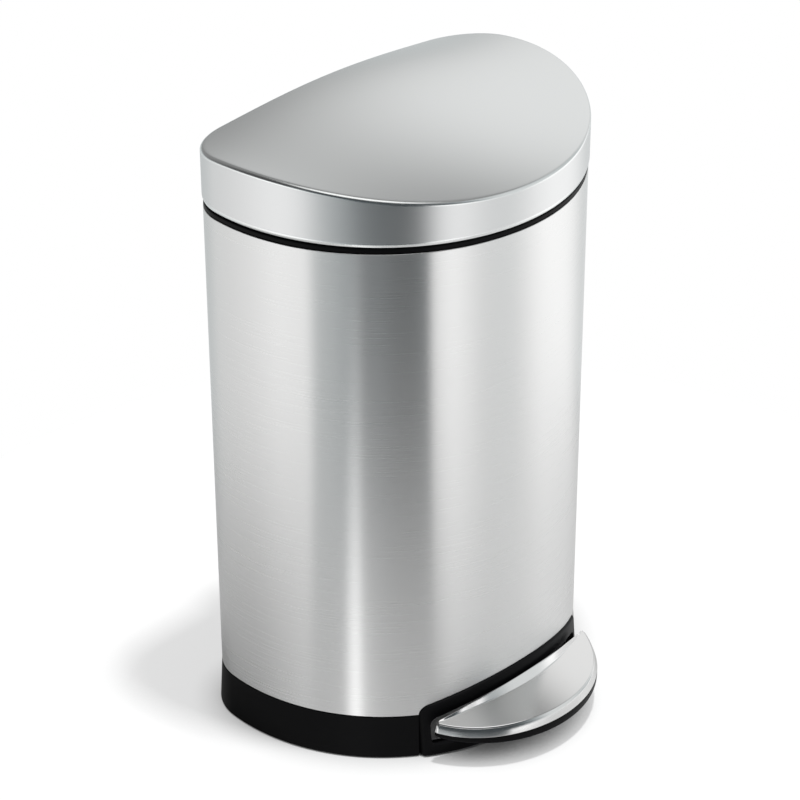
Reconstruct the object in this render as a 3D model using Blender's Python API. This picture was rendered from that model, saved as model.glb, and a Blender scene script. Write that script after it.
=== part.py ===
"""Pedal bin: a semi-round steel kitchen bin with a domed lid, a pedal and a lift-out bucket.

Lengths are in metres. +Z is up, the pedal faces -Y and the flat back faces +Y. Shapes are
worked out about the middle of the body's plan, and one empty then moves the whole bin so
that its origin lies on the floor under the middle of its overall box.
"""

import math

import bmesh
import bpy
from mathutils import Matrix, Vector

# Body plan, with its width taken across the rear corners
BODY_WIDTH = 0.2673
BODY_DEPTH = 0.1819
BODY_CORNER = 0.0388
SHEET = 0.0008
GAP = 0.0003
OVERRUN = 0.02

# Heights
FOOT_RISE = 0.001
BAND_TOP = 0.0331
BODY_TOP = 0.3817
FLOOR_PLATE_Z = 0.0443
FLOOR_PLATE_THICKNESS = 0.0025

# Base band
BAND_FLARE = 0.0019
BAND_WALL = 0.003
UPSTAND_WALL = 0.0034
LUG_RADIUS = 0.011
LUG_INSET = 0.0115
LUG_UNDERSIDE = 0.0035
LUG_THICKNESS = 0.006
FRONT_LUG_ANGLE = math.radians(52)
REAR_LUG_ANGLE = math.radians(50)
FOOT_RADIUS = 0.009
FOOT_CHAMFER = 0.0008

# Surround of the pedal's opening
SURROUND_HALF_WIDTH = 0.0776
SURROUND_TOP = 0.0530
SURROUND_ARCH_RADIUS = 0.211
SURROUND_CORNER = 0.0051
SURROUND_PROUD = 0.0014
SURROUND_FLARE = 0.0042
SURROUND_DEPTH = 0.0034
SURROUND_STEPS = 28
OPENING_HALF_WIDTH = 0.0722
OPENING_TOP = 0.0415
OPENING_ARCH_RADIUS = 0.1976
OPENING_CORNER = 0.004
SILL_TOP = 0.0085

# Pedal
AXLE_INSET = 0.0378
AXLE_Z = 0.022
TREAD_REACH = 0.0354
TREAD_ARC_RADIUS = 0.0809
TREAD_HALF_WIDTH = 0.0731
TREAD_TIP_RADIUS = 0.004
TREAD_EDGE_Z = 0.0334
TREAD_SLOPE = 0.187
TREAD_CROWN_RADIUS = 0.260
CREASE_REACH = 0.0073
CREASE_RADIUS = 0.1287
RISER_REACH = 0.0036
RISER_RADIUS = 0.176
RISER_HEIGHT = 0.0053
SKIRT_HEIGHT = 0.0070
SKIRT_TIP_HEIGHT = 0.0063
SKIRT_FLARE = 0.0034
TREAD_SHEET = 0.0010
TREAD_STEPS = 28
TIP_PULL_SHARE = 0.6
TIP_TURN_SHARE = 0.7
EDGE_ROLL_SHARES = ((0.22, 0.04), (0.36, 0.16))
TRAY_HEIGHT = 0.0068
TRAY_TIP_HEIGHT = 0.0036
TRAY_FLARE = 0.0034
TRAY_DECK_Z = 0.0230
LEVER_WIDTH = 0.020
LEVER_THICKNESS = 0.004
LEVER_REACH = 0.0252
LEVER_REAR_MARGIN = 0.0045
LEVER_PLATE_THICKNESS = 0.003
LEVER_PAD_WIDTH = 0.056
LEVER_PAD_DEPTH = 0.018
HUB_RADIUS = 0.008
AXLE_RADIUS = 0.004
AXLE_HEAD_RADIUS = 0.006
AXLE_HEAD_THICKNESS = 0.0025
CLIP_THICKNESS = 0.0015
CLIP_RADIUS = 0.0065
BRACKET_THICKNESS = 0.003
BRACKET_HALF_DEPTH = 0.011
BRACKET_FOOT_WIDTH = 0.018
BRACKET_DROP = 0.008
BRACKET_SCREW_SPACING = 0.014

# Push rod, its channel and the damper
ROD_INSET = 0.0103
ROD_RADIUS = 0.0025
ROD_BORE = 0.0028
ROD_SOCKET = 0.0045
ROD_FOOT_RADIUS = 0.0045
ROD_FOOT_HEIGHT = 0.009
ROD_HEAD_RADIUS = 0.007
ROD_HEAD_THICKNESS = 0.003
ROD_HEAD_SLEEVE = 0.010
CONTACT_GAP = 0.0005
CHANNEL_DEPTH = 0.0196
CHANNEL_HALF_WIDTH = 0.018
CHANNEL_WALL = 0.0015
CHANNEL_TOP_DROP = 0.030
GUIDE_HEIGHT = 0.006
LOWER_GUIDE_Z = 0.060
UPPER_GUIDE_DROP = 0.046
DAMPER_RADIUS = 0.0075
DAMPER_WALL = 0.0017
DAMPER_BASE_DROP = 0.150
DAMPER_LENGTH = 0.070
DAMPER_END = 0.0025
PISTON_RADIUS = 0.0055
PISTON_HEIGHT = 0.006
PISTON_RISE = 0.010

# Collar at the top of the body
COLLAR_LIP = 0.0034
COLLAR_INSET = 0.0002
COLLAR_WALL = 0.0021
COLLAR_SKIRT = 0.010
LEDGE_DROP = 0.002
LEDGE_THICKNESS = 0.0025
LEDGE_REACH = 0.0080
NOTCH_HALF_WIDTH = 0.0208
NOTCH_DEPTH = 0.0168

# Bucket
BUCKET_CLEARANCE = 0.009
BUCKET_TAPER = 0.005
BUCKET_WALL = 0.002
BUCKET_BACK_SPACE = 0.0238
BUCKET_CORNER = 0.030
RIM_REACH = 0.0054
RIM_REACH_BACK = 0.0036
RIM_THICKNESS = 0.002

# Lid
LID_OVERHANG = 0.0006
LID_SHIFT_Y = -0.0001
LID_EDGE_RISE = 0.0043
LID_EDGE_SLOPE = 0.0047
LID_TUCK = 0.0006
LID_HEM_HEIGHT = 0.0022
LID_PEAK_RISE = 0.0503
LID_TILT = 0.0882
LID_DEPTH_RADIUS = 0.3155
LID_WIDTH_RADIUS = 0.6512
LID_SIDE_LIFT = 0.0016
LID_SIDE_REACH = 0.100
LID_CREASE_DROP = 0.0022
LID_CREASE_INSET = 0.0026
LID_NOTCH_RISE = 0.0078
DOME_RING_SHARES = (0.86, 0.68, 0.46, 0.22, 0.06)
CREASE_TURN_SHARES = (0.3, 0.25)
LINER_INSET = 0.0019
LINER_WALL = 0.0020
LINER_RIM_RISE = 0.0040
LINER_PLATE_RISE = 0.0110
LINER_PLATE_THICKNESS = 0.002
LINER_TOP_RISE = 0.0170
BUMPER_HALF_WIDTH = 0.005
BUMPER_HEIGHT = 0.002
BUMPER_ANGLE = math.radians(35)

# Hinge
PIN_STANDOFF = 0.0077
PIN_RISE = 0.001
PIN_RADIUS = 0.002
LID_ANGLE = math.radians(75)
BOSS_RADIUS = 0.005
FINGER_LENGTH = 0.020
FINGER_TIP_RADIUS = 0.003
FINGER_HALF_WIDTH = 0.006
ARM_HALF_WIDTH = 0.020
ARM_REACH = 0.0428
ARM_PLATE_THICKNESS = 0.0032
ARM_NECK_RISE = 0.0068
HOUSING_HALF_WIDTH = 0.042
HOUSING_DEPTH = 0.0142
HOUSING_DROP = 0.028
HOUSING_RISE = 0.0055
HOUSING_BACK_WALL = 0.0015
HOUSING_SLOT_DROP = 0.006
HOUSING_BEVEL = 0.002
HOUSING_SCREW_X = 0.032
HOUSING_SCREW_DROP = 0.019

# Screws
SCREW_RADIUS = 0.0017
SCREW_HOLE = 0.0020
SCREW_HEAD_RADIUS = 0.0034
SCREW_HEAD_THICKNESS = 0.0022
SCREW_HEAD_FLAT = 0.0027
SCREW_HEAD_ROUNDING = 0.0009
SCREW_DRIVE_RADIUS = 0.0013
SCREW_DRIVE_DEPTH = 0.0012
COUNTERBORE_RADIUS = 0.0038
HOUSING_SCREW_LENGTH = 0.012
PEDAL_SCREW_X = 0.020
PEDAL_SCREW_REACH = 0.0207
ARM_SCREW_X = 0.013
ARM_SCREW_MARGIN = 0.008

# Facets
ARC_STEPS = 36
CORNER_STEPS = 9
ROUND_STEPS = 20
SMALL_STEPS = 12

# Worked out from the sizes above
ARC_RADIUS = ((BODY_DEPTH - BODY_CORNER) ** 2 + (BODY_WIDTH / 2 - BODY_CORNER) ** 2 - BODY_CORNER**2) / (
    2 * (BODY_DEPTH - 2 * BODY_CORNER)
)
FRONT_Y = -BODY_DEPTH / 2
BACK_Y = BODY_DEPTH / 2
ARC_Y = FRONT_Y + ARC_RADIUS
AXLE_Y = FRONT_Y + AXLE_INSET
TREAD_FRONT_Y = FRONT_Y - TREAD_REACH
CREASE_Y = FRONT_Y - CREASE_REACH
RISER_Y = FRONT_Y - RISER_REACH
LEVER_FRONT_Y = FRONT_Y - LEVER_REACH
PEDAL_SCREW_Y = FRONT_Y - PEDAL_SCREW_REACH
ROD_Y = BACK_Y - ROD_INSET
CHANNEL_FRONT_Y = BACK_Y - CHANNEL_DEPTH
CHANNEL_TOP = BODY_TOP - CHANNEL_TOP_DROP
UPPER_GUIDE_Z = BODY_TOP - UPPER_GUIDE_DROP
DAMPER_BASE_Z = BODY_TOP - DAMPER_BASE_DROP
NOTCH_FRONT_Y = BACK_Y - NOTCH_DEPTH
BUCKET_BACK_Y = BACK_Y - BUCKET_BACK_SPACE
LID_EDGE_Z = BODY_TOP + LID_EDGE_RISE
LID_PEAK_Z = BODY_TOP + LID_PEAK_RISE
LINER_RIM_Z = BODY_TOP + LINER_RIM_RISE
LINER_PLATE_Z = BODY_TOP + LINER_PLATE_RISE
LINER_TOP_Z = BODY_TOP + LINER_TOP_RISE
PIN_Y = BACK_Y + PIN_STANDOFF
PIN_Z = BODY_TOP + PIN_RISE
ARM_FRONT_Y = BACK_Y - ARM_REACH
ARM_NECK_TOP = BODY_TOP + ARM_NECK_RISE
HOUSING_BOTTOM = BODY_TOP - HOUSING_DROP
HOUSING_TOP = BODY_TOP + HOUSING_RISE
HOUSING_SLOT_Z = BODY_TOP - HOUSING_SLOT_DROP
HOUSING_SCREW_Z = BODY_TOP - HOUSING_SCREW_DROP
FINGER_ANGLE = LID_ANGLE / 2
FINGER_TIP_Y = PIN_Y - FINGER_LENGTH * math.cos(FINGER_ANGLE)
FINGER_TIP_Z = PIN_Z - FINGER_LENGTH * math.sin(FINGER_ANGLE)
LEVER_SLOPE = FINGER_LENGTH * math.sin(FINGER_ANGLE) / (ROD_Y - AXLE_Y)
ROD_TOP_Z = FINGER_TIP_Z - FINGER_TIP_RADIUS - CONTACT_GAP
HOUSING_FRONT_Y = BACK_Y + GAP
HOUSING_BACK_Y = HOUSING_FRONT_Y + HOUSING_DEPTH
PEDAL_FRONT_Y = TREAD_FRONT_Y - TRAY_FLARE
MIDDLE_Y = (PEDAL_FRONT_Y + HOUSING_BACK_Y) / 2
FLOOR_PLATE_TOP = FLOOR_PLATE_Z + FLOOR_PLATE_THICKNESS
BRACKET_X = LEVER_WIDTH / 2 + 2 * GAP
BRACKET_FOOT_THICKNESS = BRACKET_THICKNESS


def clear_scene():
    for item in list(bpy.data.objects):
        bpy.data.objects.remove(item)


def finish(name, colour, roughness, metallic=0.0):
    """A Principled material of one colour."""
    material = bpy.data.materials.new(name)
    material.use_nodes = True
    shader = material.node_tree.nodes["Principled BSDF"]
    shader.inputs["Base Color"].default_value = (*colour, 1.0)
    shader.inputs["Roughness"].default_value = roughness
    shader.inputs["Metallic"].default_value = metallic
    return material


def axis_empty(name, place, parent=None):
    """An empty at a joint's axis; the pieces that move with it are its children."""
    empty = bpy.data.objects.new(name, None)
    empty.location = place
    empty.parent = parent
    bpy.context.scene.collection.objects.link(empty)
    return empty


def solid(name, form, material, carrier):
    """Turns a bmesh in plan coordinates into an object carried by an axis empty."""
    bmesh.ops.recalc_face_normals(form, faces=form.faces)
    if carrier.parent is not None:
        bmesh.ops.translate(form, vec=-carrier.location, verts=form.verts)
    mesh = bpy.data.meshes.new(name)
    form.to_mesh(mesh)
    form.free()
    mesh.shade_smooth()
    mesh.set_sharp_from_angle(angle=math.radians(32))
    if material is not None:
        mesh.materials.append(material)
    item = bpy.data.objects.new(name, mesh)
    item.parent = carrier
    bpy.context.scene.collection.objects.link(item)
    return item


def as_cutter(item):
    item.hide_render = True
    item.display_type = "WIRE"
    return item


def boolean(target, other, operation="DIFFERENCE"):
    modifier = target.modifiers.new(other.name, "BOOLEAN")
    modifier.operation = operation
    modifier.object = as_cutter(other)


def plan(arc_radius, back_y, corner, offset=0.0):
    """Semi-round outline: a front arc, two rear corners and a flat back, from left to right.

    Outlines that differ only in offset have matching points.
    """
    corner_y = back_y - corner
    corner_x = math.sqrt((arc_radius - corner) ** 2 - (ARC_Y - corner_y) ** 2)
    half_arc = math.atan2(corner_x, ARC_Y - corner_y)
    points = []
    for step in range(ARC_STEPS + 1):
        angle = half_arc * (2 * step / ARC_STEPS - 1)
        reach = arc_radius + offset
        points.append((reach * math.sin(angle), ARC_Y - reach * math.cos(angle)))
    right = []
    for step in range(1, CORNER_STEPS + 1):
        angle = half_arc - math.pi / 2 + (math.pi - half_arc) * step / CORNER_STEPS
        reach = corner + offset
        right.append((corner_x + reach * math.cos(angle), corner_y + reach * math.sin(angle)))
    points += right
    points += [(-x, y) for x, y in reversed(right)]
    return points


def body_plan(offset=0.0):
    return plan(ARC_RADIUS, BACK_Y, BODY_CORNER, offset)


def bucket_plan(offset=0.0):
    return plan(ARC_RADIUS - BUCKET_CLEARANCE, BUCKET_BACK_Y, BUCKET_CORNER, offset)


def lid_plan(offset=0.0):
    return [(x, y + LID_SHIFT_Y) for x, y in body_plan(LID_OVERHANG + offset)]


def level(outline, height):
    return [(x, y, height) for x, y in outline]


def skin(loops, closed=False):
    """Joins loops of equal counts; the ends are capped, or joined to each other if closed."""
    form = bmesh.new()
    rows = [[form.verts.new(point) for point in loop] for loop in loops]
    pairs = list(zip(rows, rows[1:]))
    if closed:
        pairs.append((rows[-1], rows[0]))
    else:
        form.faces.new(reversed(rows[0]))
        form.faces.new(rows[-1])
    for low, high in pairs:
        count = len(low)
        for index in range(count):
            after = (index + 1) % count
            form.faces.new((low[index], low[after], high[after], high[index]))
    return form


def band(profile, outline=body_plan):
    """A ring along a plan outline; the profile is a closed list of (offset, height)."""
    return skin([level(outline(offset), height) for offset, height in profile], closed=True)


def slab(outline, bottom, top):
    return skin([level(outline, bottom), level(outline, top)])


def box(low, high):
    corners = [(low[0], low[1]), (high[0], low[1]), (high[0], high[1]), (low[0], high[1])]
    return slab(corners, low[2], high[2])


def extrude_x(profile, half_width, middle=0.0):
    """A (y, z) outline carried along X."""
    ends = [[(side, y, z) for y, z in profile] for side in (middle - half_width, middle + half_width)]
    return skin(ends)


def turned(profile, centre, axis="Z", steps=ROUND_STEPS):
    """A solid of revolution; the profile is a list of (radius, height), closed on the axis.

    A profile whose radii never reach zero is a ring.
    """
    form = bmesh.new()
    rows = []
    for radius, height in profile:
        if radius == 0:
            rows.append([form.verts.new((0, 0, height))])
            continue
        turn = [2 * math.pi * step / steps for step in range(steps)]
        rows.append([form.verts.new((radius * math.cos(a), radius * math.sin(a), height)) for a in turn])
    pairs = list(zip(rows, rows[1:]))
    if all(len(row) > 1 for row in rows):
        pairs.append((rows[-1], rows[0]))
    for low, high in pairs:
        for step in range(steps):
            after = (step + 1) % steps
            if len(low) == 1:
                form.faces.new((low[0], high[after], high[step]))
            elif len(high) == 1:
                form.faces.new((low[step], low[after], high[0]))
            else:
                form.faces.new((low[step], low[after], high[after], high[step]))
    turns = {
        "Z": Matrix.Identity(4),
        "X": Matrix.Rotation(math.pi / 2, 4, "Y"),
        "Y": Matrix.Rotation(-math.pi / 2, 4, "X"),
        "-Z": Matrix.Rotation(math.pi, 4, "X"),
    }
    bmesh.ops.transform(form, matrix=Matrix.Translation(centre) @ turns[axis], verts=form.verts)
    return form


def rod_form(radius, centre, length, axis="Z", steps=ROUND_STEPS):
    """A plain cylinder whose first end is at the centre given."""
    profile = [(0, 0), (radius, 0), (radius, length), (0, length)]
    return turned(profile, centre, axis, steps)


def screw(name, place, length, axis, material, carrier):
    """Pan-head screw: the head starts at the place given and the shank runs along the axis."""
    head = SCREW_HEAD_THICKNESS
    profile = [
        (0, SCREW_DRIVE_DEPTH),
        (SCREW_DRIVE_RADIUS, SCREW_DRIVE_DEPTH),
        (SCREW_DRIVE_RADIUS, 0),
        (SCREW_HEAD_FLAT, 0),
        (SCREW_HEAD_RADIUS, SCREW_HEAD_ROUNDING),
        (SCREW_HEAD_RADIUS, head),
        (SCREW_RADIUS, head),
        (SCREW_RADIUS, head + length - SCREW_RADIUS / 2),
        (SCREW_RADIUS / 2, head + length),
        (0, head + length),
    ]
    return solid(name, turned(profile, place, axis, SMALL_STEPS), material, carrier)


def drill(target, name, place, radius, length, axis, carrier, steps=SMALL_STEPS):
    boolean(target, solid(name, rod_form(radius, place, length, axis, steps), None, carrier))


def drill_seat(target, name, place, seat, carrier):
    """A screw hole with a wider pocket for the head, from below the place up to the seat."""
    x, y = place
    profile = [
        (0, seat - OVERRUN),
        (COUNTERBORE_RADIUS, seat - OVERRUN),
        (COUNTERBORE_RADIUS, seat),
        (SCREW_HOLE, seat),
        (SCREW_HOLE, seat + OVERRUN),
        (0, seat + OVERRUN),
    ]
    boolean(target, solid(name, turned(profile, (x, y, 0), "Z", SMALL_STEPS), None, carrier))


def arch_height(x, half_width, top, arch_radius, corner):
    """Height of a shallow arch with rounded ends."""
    height = top - x * x / (2 * arch_radius)
    past = abs(x) - (half_width - corner)
    if past > 0:
        height -= corner - math.sqrt(max(corner * corner - past * past, 0.0))
    return height


def arch_stations(half_width, corner):
    """Stations along X: even ones, then a few round each corner."""
    straight = half_width - corner
    inner = [straight * (2 * step / SURROUND_STEPS - 1) for step in range(SURROUND_STEPS + 1)]
    turn = [straight + corner * math.sin(math.radians(angle)) for angle in (30, 60, 90)]
    return [-x for x in reversed(turn)] + inner + turn


def front_y(x, offset):
    """Where a line at x meets the front arc of the body, moved out by the offset."""
    return ARC_Y - math.sqrt((ARC_RADIUS + offset) ** 2 - x * x)


def surround_offset(height):
    """The surround leans out towards the floor and stands a little proud of the steel."""
    share = min(max(height / BAND_TOP, 0.0), 1.0)
    return SURROUND_FLARE + (SURROUND_PROUD - SURROUND_FLARE) * share


def surround_form():
    loops = []
    edge = SURROUND_PROUD / 2
    for x in arch_stations(SURROUND_HALF_WIDTH, SURROUND_CORNER):
        top = arch_height(x, SURROUND_HALF_WIDTH, SURROUND_TOP, SURROUND_ARCH_RADIUS, SURROUND_CORNER)
        faces = [(surround_offset(FOOT_RISE), FOOT_RISE)]
        faces.append((surround_offset(BAND_TOP), BAND_TOP))
        faces.append((surround_offset(top), top - edge))
        faces.append((surround_offset(top) - edge, top))
        faces.append((-SURROUND_DEPTH, top))
        faces.append((-SURROUND_DEPTH, FOOT_RISE))
        loops.append([(x, front_y(x, offset), height) for offset, height in faces])
    return skin(loops)


def opening_form():
    loops = []
    for x in arch_stations(OPENING_HALF_WIDTH, OPENING_CORNER):
        top = arch_height(x, OPENING_HALF_WIDTH, OPENING_TOP, OPENING_ARCH_RADIUS, OPENING_CORNER)
        outer = front_y(x, SURROUND_FLARE + OVERRUN)
        inner = front_y(x, -SURROUND_DEPTH - OVERRUN)
        loops.append([(x, outer, SILL_TOP), (x, outer, top), (x, inner, top), (x, inner, SILL_TOP)])
    return skin(loops)


def bay_form(arched):
    """The room that the surround takes out of its neighbours, arched or straight to the top."""
    loops = []
    half = SURROUND_HALF_WIDTH + GAP
    corner = SURROUND_CORNER + GAP
    for x in arch_stations(half, corner):
        top = FLOOR_PLATE_TOP + OVERRUN
        if arched:
            top = arch_height(x, half, SURROUND_TOP + GAP, SURROUND_ARCH_RADIUS, corner)
        outer = front_y(x, SURROUND_FLARE + OVERRUN)
        inner = front_y(x, -SURROUND_DEPTH - GAP)
        if not arched:
            inner = front_y(x, -SURROUND_DEPTH - OVERRUN)
        low = -OVERRUN
        loops.append([(x, outer, low), (x, outer, top), (x, inner, top), (x, inner, low)])
    return skin(loops)


def lug_places():
    """Middles of the four foot lugs, inside the base band."""
    reach = ARC_RADIUS - LUG_INSET
    front = (reach * math.sin(FRONT_LUG_ANGLE), ARC_Y - reach * math.cos(FRONT_LUG_ANGLE))
    corner_y = BACK_Y - BODY_CORNER
    corner_x = BODY_WIDTH / 2 - BODY_CORNER
    reach = BODY_CORNER - LUG_INSET
    rear = (corner_x + reach * math.cos(REAR_LUG_ANGLE), corner_y + reach * math.sin(REAR_LUG_ANGLE))
    return {
        "front_left": (-front[0], front[1]),
        "front_right": front,
        "rear_left": (-rear[0], rear[1]),
        "rear_right": rear,
    }


def build_base(carrier, plastic, rubber, steel):
    band_profile = [
        (BAND_FLARE, FOOT_RISE),
        (0, BAND_TOP),
        (-SHEET - GAP, BAND_TOP),
        (-SHEET - GAP, FLOOR_PLATE_Z - GAP),
        (-SHEET - GAP - UPSTAND_WALL, FLOOR_PLATE_Z - GAP),
        (-SHEET - GAP - UPSTAND_WALL, BAND_TOP - UPSTAND_WALL),
        (-BAND_WALL, BAND_TOP - 2 * UPSTAND_WALL),
        (-BAND_WALL + BAND_FLARE / 2, FOOT_RISE),
    ]
    skirt = solid("base_skirt", band(band_profile), plastic, carrier)
    for name, (x, y) in lug_places().items():
        lug = rod_form(LUG_RADIUS, (x, y, LUG_UNDERSIDE), LUG_THICKNESS)
        boolean(skirt, solid("lug_" + name, lug, None, carrier), "UNION")
    boolean(skirt, solid("skirt_bay", bay_form(arched=False), None, carrier))

    for name, (x, y) in lug_places().items():
        top = LUG_UNDERSIDE - GAP
        profile = [
            (0, 0),
            (FOOT_RADIUS - FOOT_CHAMFER, 0),
            (FOOT_RADIUS, FOOT_CHAMFER),
            (FOOT_RADIUS, top),
            (0, top),
        ]
        solid("foot_" + name, turned(profile, (x, y, 0)), rubber, carrier)

    surround = solid("pedal_surround", surround_form(), plastic, carrier)
    boolean(surround, solid("surround_opening", opening_form(), None, carrier))

    plate = solid(
        "base_plate",
        slab(body_plan(-SHEET - GAP), FLOOR_PLATE_Z, FLOOR_PLATE_TOP),
        plastic,
        carrier,
    )
    boolean(plate, solid("plate_bay", bay_form(arched=True), None, carrier))
    under = FLOOR_PLATE_Z - OVERRUN
    drill(plate, "plate_rod_hole", (0, ROD_Y, under), ROD_BORE + GAP, 2 * OVERRUN, "Z", carrier)

    bracket_top = FLOOR_PLATE_Z - GAP
    outer = BRACKET_X + BRACKET_FOOT_WIDTH
    for side, name in ((-1, "left"), (1, "right")):
        foot_low = bracket_top - BRACKET_FOOT_THICKNESS
        profile = [
            (BRACKET_X, AXLE_Z - BRACKET_DROP),
            (BRACKET_X + BRACKET_THICKNESS, AXLE_Z - BRACKET_DROP),
            (BRACKET_X + BRACKET_THICKNESS, foot_low),
            (outer, foot_low),
            (outer, bracket_top),
            (BRACKET_X, bracket_top),
        ]
        ends = [AXLE_Y - BRACKET_HALF_DEPTH, AXLE_Y + BRACKET_HALF_DEPTH]
        form = skin([[(side * x, y, z) for x, z in profile] for y in ends])
        bracket = solid(name + "_axle_bracket", form, steel, carrier)
        start = side * BRACKET_X - OVERRUN
        bore = AXLE_RADIUS + GAP
        drill(bracket, name + "_axle_bore", (start, AXLE_Y, AXLE_Z), bore, 2 * OVERRUN, "X", carrier)
        screw_x = side * (outer + BRACKET_X + BRACKET_THICKNESS) / 2
        for end, word in ((-1, "front"), (1, "rear")):
            y = AXLE_Y + end * BRACKET_SCREW_SPACING / 2
            label = f"{name}_{word}_bracket_screw"
            place = (screw_x, y, foot_low - GAP - SCREW_HEAD_THICKNESS)
            length = FLOOR_PLATE_TOP - GAP - foot_low + GAP
            screw(label, place, length, "Z", steel, carrier)
            for target in (bracket, plate):
                hole = f"{label}_hole_in_{target.name}"
                drill(target, hole, (screw_x, y, under), SCREW_HOLE, 2 * OVERRUN, "Z", carrier)

    outside = BRACKET_X + BRACKET_THICKNESS + GAP
    span = 2 * outside + CLIP_THICKNESS + 2 * GAP
    profile = [
        (0, 0),
        (AXLE_HEAD_RADIUS, 0),
        (AXLE_HEAD_RADIUS, AXLE_HEAD_THICKNESS),
        (AXLE_RADIUS, AXLE_HEAD_THICKNESS),
        (AXLE_RADIUS, AXLE_HEAD_THICKNESS + span),
        (0, AXLE_HEAD_THICKNESS + span),
    ]
    head = (-outside - AXLE_HEAD_THICKNESS, AXLE_Y, AXLE_Z)
    solid("pedal_axle", turned(profile, head, "X"), steel, carrier)
    profile = [
        (AXLE_RADIUS + GAP, 0),
        (CLIP_RADIUS, 0),
        (CLIP_RADIUS, CLIP_THICKNESS),
        (AXLE_RADIUS + GAP, CLIP_THICKNESS),
    ]
    solid("axle_clip", turned(profile, (outside, AXLE_Y, AXLE_Z), "X"), steel, carrier)


def build_body(carrier, steel, plastic):
    wall = [(0, BAND_TOP + GAP), (0, BODY_TOP), (-SHEET, BODY_TOP), (-SHEET, BAND_TOP + GAP)]
    shell = solid("body_shell", band(wall), steel, carrier)
    boolean(shell, solid("shell_bay", bay_form(arched=True), None, carrier))

    inner = -SHEET - GAP
    ledge_top = BODY_TOP - LEDGE_DROP
    profile = [
        (-COLLAR_INSET, BODY_TOP + GAP),
        (-COLLAR_INSET, BODY_TOP + COLLAR_LIP),
        (inner - COLLAR_WALL, BODY_TOP + COLLAR_LIP),
        (inner - COLLAR_WALL, ledge_top),
        (-LEDGE_REACH, ledge_top),
        (-LEDGE_REACH, ledge_top - LEDGE_THICKNESS),
        (inner - COLLAR_WALL, ledge_top - LEDGE_THICKNESS),
        (inner - COLLAR_WALL, BODY_TOP - COLLAR_SKIRT),
        (inner, BODY_TOP - COLLAR_SKIRT),
        (inner, BODY_TOP + GAP),
    ]
    collar = solid("top_collar", band(profile), plastic, carrier)
    low = (-NOTCH_HALF_WIDTH, NOTCH_FRONT_Y, BODY_TOP - COLLAR_SKIRT - OVERRUN)
    high = (NOTCH_HALF_WIDTH, BACK_Y + OVERRUN, BODY_TOP + COLLAR_LIP + OVERRUN)
    boolean(collar, solid("collar_notch", box(low, high), None, carrier))

    housing = solid(
        "hinge_housing",
        box(
            (-HOUSING_HALF_WIDTH, HOUSING_FRONT_Y, HOUSING_BOTTOM),
            (HOUSING_HALF_WIDTH, HOUSING_BACK_Y, HOUSING_TOP),
        ),
        plastic,
        carrier,
    )
    bevel = housing.modifiers.new("rounded_edges", "BEVEL")
    bevel.width = HOUSING_BEVEL
    bevel.segments = 3
    slot = box(
        (-ARM_HALF_WIDTH - 2 * GAP, HOUSING_FRONT_Y - OVERRUN, HOUSING_SLOT_Z),
        (ARM_HALF_WIDTH + 2 * GAP, HOUSING_BACK_Y - HOUSING_BACK_WALL, HOUSING_TOP + OVERRUN),
    )
    boolean(housing, solid("housing_slot", slot, None, carrier))
    start = (-HOUSING_HALF_WIDTH - OVERRUN, PIN_Y, PIN_Z)
    span = 2 * (HOUSING_HALF_WIDTH + OVERRUN)
    drill(housing, "pin_bore", start, PIN_RADIUS + GAP, span, "X", carrier)
    length = 2 * HOUSING_HALF_WIDTH - 4 * GAP
    place = (-length / 2, PIN_Y, PIN_Z)
    pin = rod_form(PIN_RADIUS, place, length, "X", SMALL_STEPS)
    solid("hinge_pin", pin, steel, carrier)
    for side, name in ((-1, "left"), (1, "right")):
        x = side * HOUSING_SCREW_X
        head_y = BACK_Y - SHEET - GAP - SCREW_HEAD_THICKNESS
        place = (x, head_y, HOUSING_SCREW_Z)
        label = name + "_housing_screw"
        screw(label, place, HOUSING_SCREW_LENGTH, "Y", steel, carrier)
        reach = head_y + SCREW_HEAD_THICKNESS + HOUSING_SCREW_LENGTH + GAP
        length = reach - HOUSING_FRONT_Y + OVERRUN
        for target in (shell, housing):
            hole = f"{label}_hole_in_{target.name}"
            place = (x, HOUSING_FRONT_Y - OVERRUN, HOUSING_SCREW_Z)
            drill(target, hole, place, SCREW_HOLE, length, "Y", carrier)


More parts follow.
